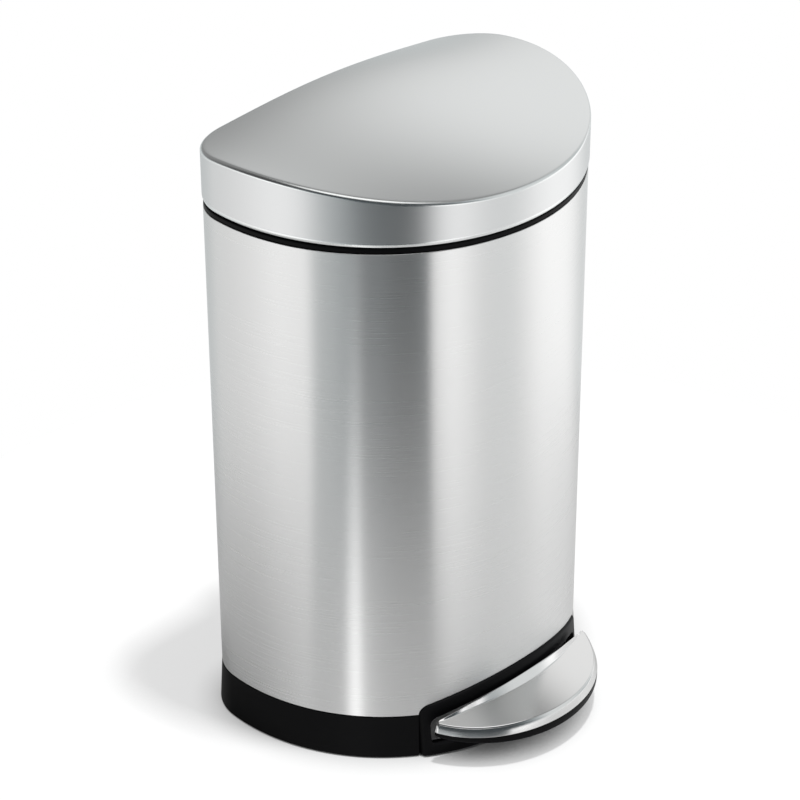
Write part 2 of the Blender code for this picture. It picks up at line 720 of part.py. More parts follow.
def build_channel(carrier, plastic, damper_finish):
    half = CHANNEL_HALF_WIDTH
    back = BACK_Y - SHEET - GAP
    front = CHANNEL_FRONT_Y
    inside = half - CHANNEL_WALL
    outline = [
        (-half, front),
        (half, front),
        (half, back),
        (inside, back),
        (inside, front + CHANNEL_WALL),
        (-inside, front + CHANNEL_WALL),
        (-inside, back),
        (-half, back),
    ]
    bottom = FLOOR_PLATE_TOP + GAP
    solid("rod_channel", slab(outline, bottom, CHANNEL_TOP), plastic, carrier)
    for name, height in (("lower_rod_guide", LOWER_GUIDE_Z), ("upper_rod_guide", UPPER_GUIDE_Z)):
        low = (-inside + GAP, front + CHANNEL_WALL + GAP, height)
        high = (inside - GAP, back, height + GUIDE_HEIGHT)
        guide = solid(name, box(low, high), plastic, carrier)
        place = (0, ROD_Y, height - OVERRUN)
        drill(guide, name + "_bore", place, ROD_BORE, GUIDE_HEIGHT + 2 * OVERRUN, "Z", carrier)
    top = DAMPER_LENGTH
    profile = [
        (ROD_BORE, 0),
        (DAMPER_RADIUS, 0),
        (DAMPER_RADIUS, top),
        (DAMPER_RADIUS - DAMPER_WALL, top),
        (DAMPER_RADIUS - DAMPER_WALL, DAMPER_END),
        (ROD_BORE, DAMPER_END),
    ]
    solid("damper_cylinder", turned(profile, (0, ROD_Y, DAMPER_BASE_Z)), damper_finish, carrier)
    cap_z = DAMPER_BASE_Z + DAMPER_LENGTH + GAP
    profile = [(ROD_BORE, 0), (DAMPER_RADIUS, 0), (DAMPER_RADIUS, DAMPER_END), (ROD_BORE, DAMPER_END)]
    solid("damper_cap", turned(profile, (0, ROD_Y, cap_z)), damper_finish, carrier)


def build_rod(carrier, steel, plastic):
    foot_z = AXLE_Z - (ROD_Y - AXLE_Y) * LEVER_SLOPE + GAP
    socket_z = foot_z + ROD_SOCKET
    rod_z = socket_z + GAP
    rod_top = ROD_TOP_Z - ROD_HEAD_THICKNESS - 2 * GAP
    rod = rod_form(ROD_RADIUS, (0, ROD_Y, rod_z), rod_top - rod_z, "Z", SMALL_STEPS)
    solid("push_rod", rod, steel, carrier)

    dome = []
    for angle in range(0, 91, 15):
        turn = math.radians(angle)
        dome.append((ROD_FOOT_RADIUS * math.sin(turn), ROD_FOOT_RADIUS * (1 - math.cos(turn))))
    profile = dome + [
        (ROD_FOOT_RADIUS, ROD_FOOT_HEIGHT),
        (ROD_BORE, ROD_FOOT_HEIGHT),
        (ROD_BORE, ROD_SOCKET),
        (0, ROD_SOCKET),
    ]
    solid("rod_foot", turned(profile, (0, ROD_Y, foot_z)), plastic, carrier)

    flange = ROD_TOP_Z - ROD_HEAD_THICKNESS
    sleeve = ROD_BORE + DAMPER_WALL
    profile = [
        (0, ROD_TOP_Z),
        (ROD_HEAD_RADIUS, ROD_TOP_Z),
        (ROD_HEAD_RADIUS, flange),
        (sleeve, flange),
        (sleeve, flange - ROD_HEAD_SLEEVE),
        (ROD_BORE, flange - ROD_HEAD_SLEEVE),
        (ROD_BORE, flange - GAP),
        (0, flange - GAP),
    ]
    solid("rod_head", turned(profile, (0, ROD_Y, 0)), plastic, carrier)
    low = DAMPER_BASE_Z + DAMPER_END + PISTON_RISE
    profile = [
        (ROD_BORE, 0),
        (PISTON_RADIUS, 0),
        (PISTON_RADIUS, PISTON_HEIGHT),
        (ROD_BORE, PISTON_HEIGHT),
    ]
    solid("damper_piston", turned(profile, (0, ROD_Y, low)), plastic, carrier)


def arc_at(x, nearest_y, radius):
    """A plan arc bulging towards the front for a positive radius, through (0, nearest_y)."""
    return nearest_y + radius - math.sqrt(radius * radius - x * x)


def tread_stations():
    """Stations along the pedal's width: even steps with the last few drawn towards the tips."""
    places = []
    for step in range(TREAD_STEPS + 1):
        turn = math.pi / 2 * (2 * step / TREAD_STEPS - 1)
        places.append(TREAD_HALF_WIDTH * math.sin(turn))
    return places


def tread_rows(x):
    """Front edge, crease and riser places in plan at one station, with the tips rounded."""
    front = arc_at(x, TREAD_FRONT_Y, TREAD_ARC_RADIUS)
    riser = arc_at(x, RISER_Y, RISER_RADIUS)
    crease = min(arc_at(x, CREASE_Y, CREASE_RADIUS), riser - GAP)
    crease = max(crease, front + (riser - front) / 2)
    past = abs(x) - (TREAD_HALF_WIDTH - TREAD_TIP_RADIUS)
    if past > 0:
        pull = 1 - math.sqrt(max(1 - (past / TREAD_TIP_RADIUS) ** 2, 0.0)) * TIP_TURN_SHARE
        middle = (front + riser) / 2
        front += (middle - front) * pull * TIP_PULL_SHARE
        riser += (middle - riser) * pull * TIP_PULL_SHARE
        crease = (front + riser) / 2
    return front, crease, riser


def tread_height(x, y):
    """The tread rises towards the bin and falls a little towards its tips."""
    crown = x * x / (2 * TREAD_CROWN_RADIUS)
    return TREAD_EDGE_Z - crown + TREAD_SLOPE * (y - TREAD_FRONT_Y)


def tip_share(x):
    """0 on the pedal's middle line and 1 at its tips."""
    return (x / TREAD_HALF_WIDTH) ** 2


def skirt_bottom(x, front):
    """Lower edge of the steel skirt at one station."""
    height = SKIRT_HEIGHT + (SKIRT_TIP_HEIGHT - SKIRT_HEIGHT) * tip_share(x)
    return tread_height(x, front) - height


def outward(x, radius):
    """Plan direction that points away from the front arc's middle."""
    return Vector((x, -math.sqrt(radius * radius - x * x))) / radius


def tread_form():
    """The steel tread: riser, crease, crowned top, rounded edge and skirt, as a thin shell."""
    (out_1, down_1), (out_2, down_2) = EDGE_ROLL_SHARES
    loops = []
    for x in tread_stations():
        front, crease, riser = tread_rows(x)
        rise = RISER_HEIGHT * (1 - tip_share(x))
        low = skirt_bottom(x, front)
        way = outward(x, TREAD_ARC_RADIUS)

        def skirt(reach, height):
            return (x + way.x * reach, front + way.y * reach, height)

        edge = tread_height(x, front)
        drop = edge - low
        wall = TREAD_SHEET
        loops.append(
            [
                (x, riser, tread_height(x, riser) + rise),
                (x, crease, tread_height(x, crease)),
                (x, (front + crease) / 2, tread_height(x, (front + crease) / 2)),
                skirt(0, edge),
                skirt(SKIRT_FLARE * out_1, edge - drop * down_1),
                skirt(SKIRT_FLARE * out_2, edge - drop * down_2),
                skirt(SKIRT_FLARE, low),
                skirt(SKIRT_FLARE - wall, low),
                skirt(SKIRT_FLARE * out_2 - wall, edge - drop * down_2 - wall / 4),
                skirt(SKIRT_FLARE * out_1 - wall, edge - drop * down_1 - wall),
                (x, (front + crease) / 2, tread_height(x, (front + crease) / 2) - wall),
                (x, crease, tread_height(x, crease) - wall),
                (x, riser, tread_height(x, riser) + rise / 2 - wall),
            ]
        )
    return skin(loops)


def tray_form():
    """The black tray under the tread, its lip proud of the steel skirt."""
    loops = []
    for x in tread_stations():
        front, _, riser = tread_rows(x)
        top = skirt_bottom(x, front) - GAP
        bottom = top - TRAY_HEIGHT - (TRAY_TIP_HEIGHT - TRAY_HEIGHT) * tip_share(x)
        way = outward(x, TREAD_ARC_RADIUS)

        def rim(reach, height):
            return (x + way.x * reach, front + way.y * reach, height)

        deck = min(TRAY_DECK_Z, top - GAP)
        chamfer = TRAY_HEIGHT / 6
        loops.append(
            [
                (x, riser, bottom),
                (x, riser, deck),
                rim(-TREAD_SHEET, deck),
                rim(0, top),
                rim(TRAY_FLARE, top),
                rim(TRAY_FLARE, bottom + chamfer),
                rim(TRAY_FLARE - chamfer, bottom),
            ]
        )
    return skin(loops)


def lever_line(y):
    """Height of the lever's top face behind the axle; the line passes through the axle."""
    return AXLE_Z - (y - AXLE_Y) * LEVER_SLOPE


def build_pedal(carrier, steel, plastic, bar):
    solid("pedal_tread", tread_form(), steel, carrier)
    tray = solid("pedal_tray", tray_form(), plastic, carrier)

    low = TRAY_DECK_Z + GAP
    high = low + LEVER_PLATE_THICKNESS
    rear = ROD_Y + LEVER_REAR_MARGIN
    hub_rear = AXLE_Y + HUB_RADIUS / 2
    hub_front = AXLE_Y - HUB_RADIUS / 2
    knee = AXLE_Y - 3 * HUB_RADIUS
    profile = [
        (LEVER_FRONT_Y, high),
        (knee, high),
        (hub_front, AXLE_Z + LEVER_THICKNESS / 2),
        (hub_rear, lever_line(hub_rear)),
        (rear, lever_line(rear)),
        (rear, lever_line(rear) - LEVER_THICKNESS),
        (hub_rear, lever_line(hub_rear) - LEVER_THICKNESS),
        (hub_front, AXLE_Z - LEVER_THICKNESS),
        (knee, low),
        (LEVER_FRONT_Y, low),
    ]
    lever = solid("pedal_lever", extrude_x(profile, LEVER_WIDTH / 2), bar, carrier)
    pad = box(
        (-LEVER_PAD_WIDTH / 2, LEVER_FRONT_Y - GAP, low + GAP),
        (LEVER_PAD_WIDTH / 2, LEVER_FRONT_Y + LEVER_PAD_DEPTH, high - GAP),
    )
    boolean(lever, solid("lever_pad", pad, None, carrier), "UNION")
    half = LEVER_WIDTH / 2 - GAP
    hub = rod_form(HUB_RADIUS, (-half, AXLE_Y, AXLE_Z), 2 * half, "X")
    boolean(lever, solid("lever_hub", hub, None, carrier), "UNION")
    start = (-LEVER_WIDTH, AXLE_Y, AXLE_Z)
    drill(lever, "hub_bore", start, AXLE_RADIUS + GAP, 2 * LEVER_WIDTH, "X", carrier, ROUND_STEPS)

    deck_under = tread_height(PEDAL_SCREW_X, TREAD_FRONT_Y) - SKIRT_HEIGHT - TRAY_HEIGHT
    seat = deck_under + SCREW_HEAD_THICKNESS + GAP
    for side, name in ((-1, "left"), (1, "right")):
        x = side * PEDAL_SCREW_X
        label = name + "_pedal_screw"
        place = (x, PEDAL_SCREW_Y, seat - SCREW_HEAD_THICKNESS)
        screw(label, place, high + GAP - seat, "Z", bar, carrier)
        drill_seat(tray, label + "_seat", (x, PEDAL_SCREW_Y), seat + GAP, carrier)
        start = (x, PEDAL_SCREW_Y, low - OVERRUN)
        drill(lever, label + "_hole", start, SCREW_HOLE, 2 * OVERRUN, "Z", carrier)


def build_bucket(carrier, plastic):
    bottom = FLOOR_PLATE_TOP + GAP
    rim_low = BODY_TOP - LEDGE_DROP + GAP
    rim_high = rim_low + RIM_THICKNESS
    wide = plan(
        ARC_RADIUS - BUCKET_CLEARANCE + RIM_REACH,
        BUCKET_BACK_Y + RIM_REACH_BACK,
        BUCKET_CORNER + RIM_REACH_BACK,
    )
    loops = [
        level(bucket_plan(-BUCKET_TAPER - BUCKET_WALL), bottom),
        level(bucket_plan(-BUCKET_TAPER), bottom + BUCKET_WALL),
        level(bucket_plan(), rim_low),
        level(wide, rim_low),
        level(wide, rim_high),
        level(bucket_plan(-BUCKET_WALL), rim_high),
        level(bucket_plan(-BUCKET_TAPER - BUCKET_WALL), bottom + 2 * BUCKET_WALL),
        level(bucket_plan(-BUCKET_TAPER - 2 * BUCKET_WALL), bottom + BUCKET_WALL),
    ]
    return solid("bucket", skin(loops), plastic, carrier)


def dome_height(x, y):
    """Top surface of the lid: a shallow bowl that rises towards the back and levels out at its sides."""
    fall = y * y / (2 * LID_DEPTH_RADIUS) + x * x / (2 * LID_WIDTH_RADIUS)
    fall -= LID_SIDE_LIFT * (x / LID_SIDE_REACH) ** 4
    return LID_PEAK_Z + LID_TILT * y - fall


def edge_height(y):
    return LID_EDGE_Z + LID_EDGE_SLOPE * y


def lid_loop(offset, height):
    """A loop of the lid; the height is a function of the plan place."""
    return [(x, y, height(x, y)) for x, y in lid_plan(offset)]


def dome_loops(inset, drop):
    """Loops of the dome from its skirt to near its middle, moved in by the sheet's thickness."""
    def lowered(amount):
        return lambda x, y: dome_height(x, y) - amount

    turn_in, turn_down = CREASE_TURN_SHARES
    loops = [
        lid_loop(-inset, lowered(LID_CREASE_DROP + drop)),
        lid_loop(-inset - LID_CREASE_INSET * turn_in, lowered(LID_CREASE_DROP * turn_down + drop)),
        lid_loop(-inset - LID_CREASE_INSET, lowered(drop)),
    ]
    base = lid_plan(-inset - LID_CREASE_INSET)
    for share in DOME_RING_SHARES:
        loops.append([(x * share, y * share, dome_height(x * share, y * share) - drop) for x, y in base])
    return loops


def lid_form():
    outer = [
        lid_loop(-LID_TUCK, lambda x, y: edge_height(y)),
        lid_loop(-LID_TUCK / 4, lambda x, y: edge_height(y) + LID_HEM_HEIGHT / 3),
        lid_loop(0, lambda x, y: edge_height(y) + LID_HEM_HEIGHT),
    ]
    outer += dome_loops(0, 0)
    inner = [
        lid_loop(-LID_TUCK - SHEET, lambda x, y: edge_height(y) + SHEET / 4),
        lid_loop(-SHEET, lambda x, y: edge_height(y) + LID_HEM_HEIGHT),
    ]
    inner += dome_loops(SHEET, SHEET)
    return skin(list(reversed(inner)) + outer)


def liner_plan(offset=0.0):
    return lid_plan(offset - LINER_INSET)


def build_lid(carrier, steel, plastic, rubber, bar):
    shell = solid("lid_shell", lid_form(), steel, carrier)
    half = HOUSING_HALF_WIDTH + 2 * GAP
    room = box((-half, NOTCH_FRONT_Y, LID_EDGE_Z - OVERRUN), (half, HOUSING_BACK_Y, BODY_TOP + LID_NOTCH_RISE))
    boolean(shell, solid("lid_notch", room, None, carrier))

    plate_top = LINER_PLATE_Z + LINER_PLATE_THICKNESS
    loops = [
        level(liner_plan(-LINER_WALL), LINER_PLATE_Z),
        level(liner_plan(-LINER_WALL), LINER_RIM_Z),
        level(liner_plan(), LINER_RIM_Z),
        level(liner_plan(), LINER_TOP_Z),
        level(liner_plan(-LINER_WALL), LINER_TOP_Z),
        level(liner_plan(-LINER_WALL), plate_top),
    ]
    liner = solid("lid_liner", skin(loops), plastic, carrier)
    low = (-NOTCH_HALF_WIDTH, NOTCH_FRONT_Y, LINER_RIM_Z - OVERRUN)
    high = (NOTCH_HALF_WIDTH, BACK_Y + OVERRUN, LINER_PLATE_Z)
    boolean(liner, solid("liner_notch", box(low, high), None, carrier))

    arm_top = LINER_PLATE_Z - GAP
    arm_low = arm_top - ARM_PLATE_THICKNESS
    liner_back = BACK_Y + LID_SHIFT_Y + LID_OVERHANG - LINER_INSET
    knee = liner_back - LINER_WALL
    profile = [
        (ARM_FRONT_Y, arm_top),
        (knee, arm_top),
        (liner_back - GAP, arm_top - ARM_PLATE_THICKNESS / 2),
        (liner_back + 2 * GAP, ARM_NECK_TOP),
        (PIN_Y + BOSS_RADIUS / 4, ARM_NECK_TOP - BOSS_RADIUS / 4),
        (PIN_Y + BOSS_RADIUS / 4, PIN_Z - BOSS_RADIUS / 3),
        (BACK_Y + SHEET, PIN_Z - BOSS_RADIUS / 8),
        (knee, PIN_Z + BOSS_RADIUS / 4),
        (knee - 2 * FINGER_TIP_RADIUS, arm_low),
        (ARM_FRONT_Y, arm_low),
    ]
    arm = solid("hinge_arm", extrude_x(profile, ARM_HALF_WIDTH), bar, carrier)
    half = ARM_HALF_WIDTH - GAP
    boss = rod_form(BOSS_RADIUS, (-half, PIN_Y, PIN_Z), 2 * half, "X")
    boolean(arm, solid("arm_boss", boss, None, carrier), "UNION")
    finger = [
        (knee, PIN_Z + BOSS_RADIUS / 2),
        (knee - 2 * FINGER_TIP_RADIUS, arm_low + GAP),
    ]
    for angle in range(180, 361, 30):
        turn = math.radians(angle)
        y = FINGER_TIP_Y + FINGER_TIP_RADIUS * math.cos(turn)
        finger.append((y, FINGER_TIP_Z + FINGER_TIP_RADIUS * math.sin(turn)))
    boolean(arm, solid("arm_finger", extrude_x(finger, FINGER_HALF_WIDTH), None, carrier), "UNION")
    span = 2 * (ARM_HALF_WIDTH + OVERRUN)
    start = (-ARM_HALF_WIDTH - OVERRUN, PIN_Y, PIN_Z)
    drill(arm, "boss_bore", start, PIN_RADIUS + GAP, span, "X", carrier)

    for side, name in ((-1, "left"), (1, "right")):
        for y, word in (
            (ARM_FRONT_Y + ARM_SCREW_MARGIN, "front"),
            (knee - 2 * ARM_SCREW_MARGIN, "rear"),
        ):
            x = side * ARM_SCREW_X
            label = f"{name}_{word}_arm_screw"
            seat = arm_low + SCREW_HEAD_THICKNESS / 2
            place = (x, y, seat - SCREW_HEAD_THICKNESS)
            screw(label, place, plate_top - seat, "Z", bar, carrier)
            drill_seat(arm, label + "_seat", (x, y), seat + GAP, carrier)
            start = (x, y, arm_low - OVERRUN)
            drill(liner, label + "_hole", start, SCREW_HOLE, 2 * OVERRUN, "Z", carrier)

    reach = ARC_RADIUS + LID_OVERHANG - LINER_INSET
    for side, name in ((-1, "left"), (1, "right")):
        turn = side * BUMPER_ANGLE
        middle = Vector((0, ARC_Y + LID_SHIFT_Y, 0))
        spin = Matrix.Translation(middle) @ Matrix.Rotation(turn, 4, "Z")
        low = (-BUMPER_HALF_WIDTH, -reach + GAP, LINER_RIM_Z - GAP)
        high = (BUMPER_HALF_WIDTH, -reach + LINER_WALL - GAP, LINER_RIM_Z + BUMPER_HEIGHT - GAP)
        pad = box(low, high)
        bmesh.ops.transform(pad, matrix=spin, verts=pad.verts)
        solid(name + "_lid_bumper", pad, rubber, carrier)
        low = (-BUMPER_HALF_WIDTH - GAP, -reach - OVERRUN, LINER_RIM_Z - OVERRUN)
        high = (BUMPER_HALF_WIDTH + GAP, -reach + LINER_WALL + GAP, LINER_RIM_Z + BUMPER_HEIGHT)
        room = box(low, high)
        bmesh.ops.transform(room, matrix=spin, verts=room.verts)
        boolean(liner, solid(name + "_bumper_room", room, None, carrier))


def main():
    clear_scene()
    brushed = finish("brushed_steel", (0.78, 0.785, 0.78), 0.28, 1.0)
    black = finish("black_plastic", (0.012, 0.012, 0.013), 0.42)
    dark = finish("dark_bucket_plastic", (0.030, 0.030, 0.032), 0.55)
    rubber = finish("black_rubber", (0.015, 0.015, 0.015), 0.8)
    zinc = finish("zinc_steel", (0.55, 0.56, 0.57), 0.38, 1.0)
    damper = finish("grey_damper_plastic", (0.20, 0.20, 0.21), 0.45)

    bin_frame = axis_empty("bin_frame", (0, -MIDDLE_Y, 0))
    lid_axis = axis_empty("lid_axis", (0, PIN_Y, PIN_Z), bin_frame)
    pedal_axis = axis_empty("pedal_axis", (0, AXLE_Y, AXLE_Z), bin_frame)
    rod_axis = axis_empty("rod_axis", (0, ROD_Y, 0), bin_frame)
    bucket_axis = axis_empty("bucket_axis", (0, 0, FLOOR_PLATE_TOP), bin_frame)

    build_base(bin_frame, black, rubber, zinc)
    build_body(bin_frame, brushed, black)
    build_channel(bin_frame, black, damper)
    build_rod(rod_axis, zinc, black)
    build_pedal(pedal_axis, brushed, black, zinc)
    build_bucket(bucket_axis, dark)
    build_lid(lid_axis, brushed, black, rubber, zinc)


main()
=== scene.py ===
"""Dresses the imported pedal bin: a semi-round brushed steel bin with a domed lid and a pedal.

All lengths are in metres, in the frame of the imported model. The shapes are worked out in plan
coordinates, whose zero is the middle of the steel body and lies PLAN_SHIFT behind the frame's
Y zero. Every surface is a function of two parameters, worked out as whole numpy arrays.
"""

from __future__ import annotations

import logging
import math
from dataclasses import dataclass
from enum import Enum
from typing import Sequence

import bpy
import numpy as np
from mathutils import Matrix, Vector

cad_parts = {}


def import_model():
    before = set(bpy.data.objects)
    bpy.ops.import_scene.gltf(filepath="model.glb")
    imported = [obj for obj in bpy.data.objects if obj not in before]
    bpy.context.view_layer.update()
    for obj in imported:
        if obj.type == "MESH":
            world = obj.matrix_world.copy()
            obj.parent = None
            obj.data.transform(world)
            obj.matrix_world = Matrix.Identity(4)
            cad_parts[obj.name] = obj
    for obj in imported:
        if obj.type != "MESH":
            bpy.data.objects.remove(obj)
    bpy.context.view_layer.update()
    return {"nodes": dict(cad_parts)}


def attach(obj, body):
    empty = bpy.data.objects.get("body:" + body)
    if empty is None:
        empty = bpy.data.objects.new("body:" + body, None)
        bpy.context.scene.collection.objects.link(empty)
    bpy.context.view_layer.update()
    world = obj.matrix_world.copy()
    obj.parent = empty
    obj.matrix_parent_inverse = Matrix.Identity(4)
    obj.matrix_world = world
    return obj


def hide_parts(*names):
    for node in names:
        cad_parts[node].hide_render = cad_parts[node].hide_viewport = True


LOG = logging.getLogger("pedal_bin")
Array = np.ndarray
Faces = list[list[int]]
Socket = bpy.types.NodeSocket
Stops = Sequence[tuple[float, float]]

PLAN_SHIFT = 0.01215
NOTCH_DEPTH = 0.05
EASE_SHARE = 0.35
STRAIGHT_HALF_ANGLE = math.radians(88.0)
MM_PER_METRE = 1000.0
SHADE_RED_LOSS = 0.14
SHADE_BLUE_GAIN = 0.08
TAU = 2.0 * math.pi
MIRROR_X = np.array([-1.0, 1.0])


class Body(str, Enum):
    """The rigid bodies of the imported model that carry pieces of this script."""

    BIN = "bin"
    LID = "lid"
    PEDAL = "pedal"
    INNER = "inner"


class Grain(Enum):
    """Which way the brushed lines of a steel sheet run."""

    ROUND_THE_BODY = "round"
    ACROSS_THE_LID = "across"


# Arrays and meshes


def fillet_profile(points: Array, radii: Sequence[float], steps: int = 5) -> Array:
    """Rounds the corners of a closed polyline.

    Each corner becomes an arc that touches both of its sides, with one more point a little
    way along each side, so that smooth shading stays inside the arc.

    Args:
        points: (n, 2) corners in order.
        radii: the radius at each corner; zero keeps it sharp.
        steps: segments along each arc.

    Returns:
        (m, 2) points of the rounded closed polyline.
    """
    points = np.asarray(points, float)
    parts = []
    for index, (corner, radius) in enumerate(zip(points, radii)):
        before = points[index - 1] - corner
        after = points[(index + 1) % len(points)] - corner
        before_length, after_length = np.linalg.norm(before), np.linalg.norm(after)
        before, after = before / before_length, after / after_length
        half = math.acos(float(np.clip(before @ after, -1.0, 1.0))) / 2.0
        if radius <= 0.0 or half > STRAIGHT_HALF_ANGLE:
            parts.append(corner[None])
            continue
        reach = radius / math.tan(half)
        inward = (before + after) / np.linalg.norm(before + after)
        middle = corner + inward * radius / math.sin(half)
        start = corner + before * reach - middle
        end = corner + after * reach - middle
        sweep = math.pi - 2.0 * half
        turn = np.linspace(0.0, sweep, steps + 1)[:, None]
        arc = middle + (np.sin(sweep - turn) * start + np.sin(turn) * end) / math.sin(sweep)
        eased = reach + radius * EASE_SHARE
        lead = corner + before * min(eased, before_length / 2.0)
        trail = corner + after * min(eased, after_length / 2.0)
        parts += [lead[None], arc, trail[None]]
    return np.concatenate(parts)


def grid_faces(rows: int, columns: int, wrap_rows: bool, wrap_columns: bool) -> Array:
    """Lists the quads of a grid of points.

    Args:
        rows: rows of points.
        columns: points in each row.
        wrap_rows: whether the last row joins the first.
        wrap_columns: whether each row closes on itself.

    Returns:
        (n, 4) indices of the points.
    """
    row = np.arange(rows if wrap_rows else rows - 1)
    column = np.arange(columns if wrap_columns else columns - 1)
    row, column = np.meshgrid(row, column, indexing="ij")
    next_row, next_column = (row + 1) % rows, (column + 1) % columns
    corners = [(row, column), (row, next_column), (next_row, next_column), (next_row, column)]
    return np.stack([high * columns + along for high, along in corners], -1).reshape(-1, 4)


def outward(points: Array, faces: Faces) -> Faces:
    """Turns the faces of a closed surface over if its signed volume is negative.

    The volume is summed over the tetrahedra between the origin and each triangle or quad.
    Faces of more points, which only shut an end, are left out of the sum.

    Args:
        points: (n, 3) points.
        faces: indices of each face's points.

    Returns:
        The faces, pointing outwards.
    """
    total = 0.0
    for size in (3, 4):
        chosen = np.array([face for face in faces if len(face) == size], int).reshape(-1, size)
        first = points[chosen[:, 0]]
        for step in range(1, size - 1):
            fan = np.cross(points[chosen[:, step]], points[chosen[:, step + 1]])
            total += float(np.einsum("ij,ij->i", first, fan).sum())
    return faces if total >= 0.0 else [face[::-1] for face in faces]


def front_ways(angles: Array) -> Array:
    """Unit plan directions at angles from the front, positive to the right."""
    return np.stack([np.sin(angles), -np.cos(angles)], -1)


def both_sides(middle: Array, right: Array) -> Array:
    """A row of plan points from left to right: the right end mirrored, the middle, that end."""
    return np.concatenate([right[::-1] * MIRROR_X, middle, right])


def make_piece(
    name: str,
    points: Array,
    faces: Faces,
    material: bpy.types.Material,
    sharp_degrees: float = 50.0,
) -> bpy.types.Object:
    """Makes one smooth-shaded object from points in plan coordinates.

    Args:
        name: the piece's name.
        points: (n, 3) points about the middle of the body's plan.
        faces: vertex indices of each face of a closed surface.
        material: the piece's finish.
        sharp_degrees: edges that turn by more than this stay sharp.

    Returns:
        The new object, at the origin of the frame.
    """
    placed = points + np.array([0.0, PLAN_SHIFT, 0.0])
    mesh = bpy.data.meshes.new(name)
    mesh.from_pydata(placed.tolist(), [], outward(placed, faces))
    mesh.validate()
    mesh.shade_smooth()
    mesh.set_sharp_from_angle(angle=math.radians(sharp_degrees))
    mesh.materials.append(material)
    piece = bpy.data.objects.new(name, mesh)
    bpy.context.scene.collection.objects.link(piece)
    return piece


def closed_loft(loops: Array) -> tuple[Array, Faces]:
    """A surface through closed loops that is shut by one face at each end.

    Args:
        loops: (k, n, 3) points of k loops.

    Returns:
        The points and the faces.
    """
    rows, columns, _ = loops.shape
    faces = grid_faces(rows, columns, False, True).tolist()
    faces.append(list(range(columns))[::-1])
    faces.append([(rows - 1) * columns + index for index in range(columns)])
    return loops.reshape(-1, 3), faces


def ring_loft(loops: Array) -> tuple[Array, Faces]:
    """A closed tube-like surface: the loops close on themselves and the last joins the first."""
    rows, columns, _ = loops.shape
    return loops.reshape(-1, 3), grid_faces(rows, columns, True, True).tolist()


def poled_loft(loops: Array, first: Array, last: Array) -> tuple[Array, Faces]:
    """A surface through closed loops that ends in one point at each end.

    Args:
        loops: (k, n, 3) points of k loops.
        first: the point that closes the first loop.
        last: the point that closes the last loop.

    Returns:
        The points and the faces.
    """
    rows, columns, _ = loops.shape
    here = np.arange(columns)
    after = (here + 1) % columns
    start, base = rows * columns, (rows - 1) * columns
    faces = grid_faces(rows, columns, False, True).tolist()
    faces += np.stack([np.full(columns, start), after, here], -1).tolist()
    faces += np.stack([base + here, base + after, np.full(columns, start + 1)], -1).tolist()
    return np.concatenate([loops.reshape(-1, 3), first[None], last[None]]), faces


@dataclass(frozen=True)
class SemiRoundPlan:
    """Outline with a round front, two rear corners and a flat back.

    A front arc of radius R about (0, arc_y) meets two rear arcs of the corner's radius, and
    a straight line joins those. Moving the outline out by d adds d to every radius.
    """

    arc_radius: float
    arc_y: float
    back_y: float
    corner: float
    arc_points: int = 240
    corner_points: int = 60
    back_points: int = 12

    @property
    def corner_middle(self) -> tuple[float, float]:
        """Finds the middle of the right rear corner, whose circle touches the front arc's.

        Returns:
            The middle's x and y.
        """
        y = self.back_y - self.corner
        x = math.sqrt((self.arc_radius - self.corner) ** 2 - (self.arc_y - y) ** 2)
        return x, y

    @property
    def half_arc(self) -> float:
        """Angle from the front to the end of the front arc."""
        x, y = self.corner_middle
        return math.atan2(x, self.arc_y - y)

    def arc(self, angles: Array, offset: float = 0.0) -> Array:
        """Points of the front arc at angles from the front, positive to the right."""
        reach = self.arc_radius + offset
        return np.stack([reach * np.sin(angles), self.arc_y - reach * np.cos(angles)], -1)

    def rear(self, offset: float = 0.0) -> Array:
        """Draws the right corner, the flat back and the left corner, from right to left.

        Args:
            offset: how far the outline is moved out.

        Returns:
            (n, 2) points.
        """
        x, y = self.corner_middle
        start = self.half_arc - math.pi / 2.0
        angles = np.linspace(start, math.pi / 2.0, self.corner_points + 1)[1:]
        reach = self.corner + offset
        right = np.stack([x + reach * np.cos(angles), y + reach * np.sin(angles)], -1)
        left = right[::-1] * MIRROR_X
        share = np.linspace(0.0, 1.0, self.back_points + 2)[1:-1, None]
        flat = right[-1] * (1.0 - share) + left[0] * share
        return np.concatenate([right, flat, left])

    def outline(self, offset: float = 0.0) -> Array:
        """The whole outline moved out by the offset, as (n, 2) points; the last isn't repeated."""
        angles = np.linspace(-self.half_arc, self.half_arc, self.arc_points + 1)
        return np.concatenate([self.arc(angles, offset), self.rear(offset)])[:-1]

    def sweep(self, profile: Array) -> Array:
        """Loops at the (offset, height) points of a profile, as (k, n, 3) points."""
        rows = [(self.outline(offset), np.full(self.count, height)) for offset, height in profile]
        return np.stack([np.c_[outline, height] for outline, height in rows])

    @property
    def count(self) -> int:
        """Number of points of the outline."""
        return self.arc_points + 2 * self.corner_points + self.back_points


BODY_PLAN = SemiRoundPlan(arc_radius=0.134078, arc_y=0.043128, back_y=0.09095, corner=0.0388)
BUCKET_PLAN = SemiRoundPlan(arc_radius=0.125078, arc_y=0.043128, back_y=0.06715, corner=0.0300)


# Shader groups


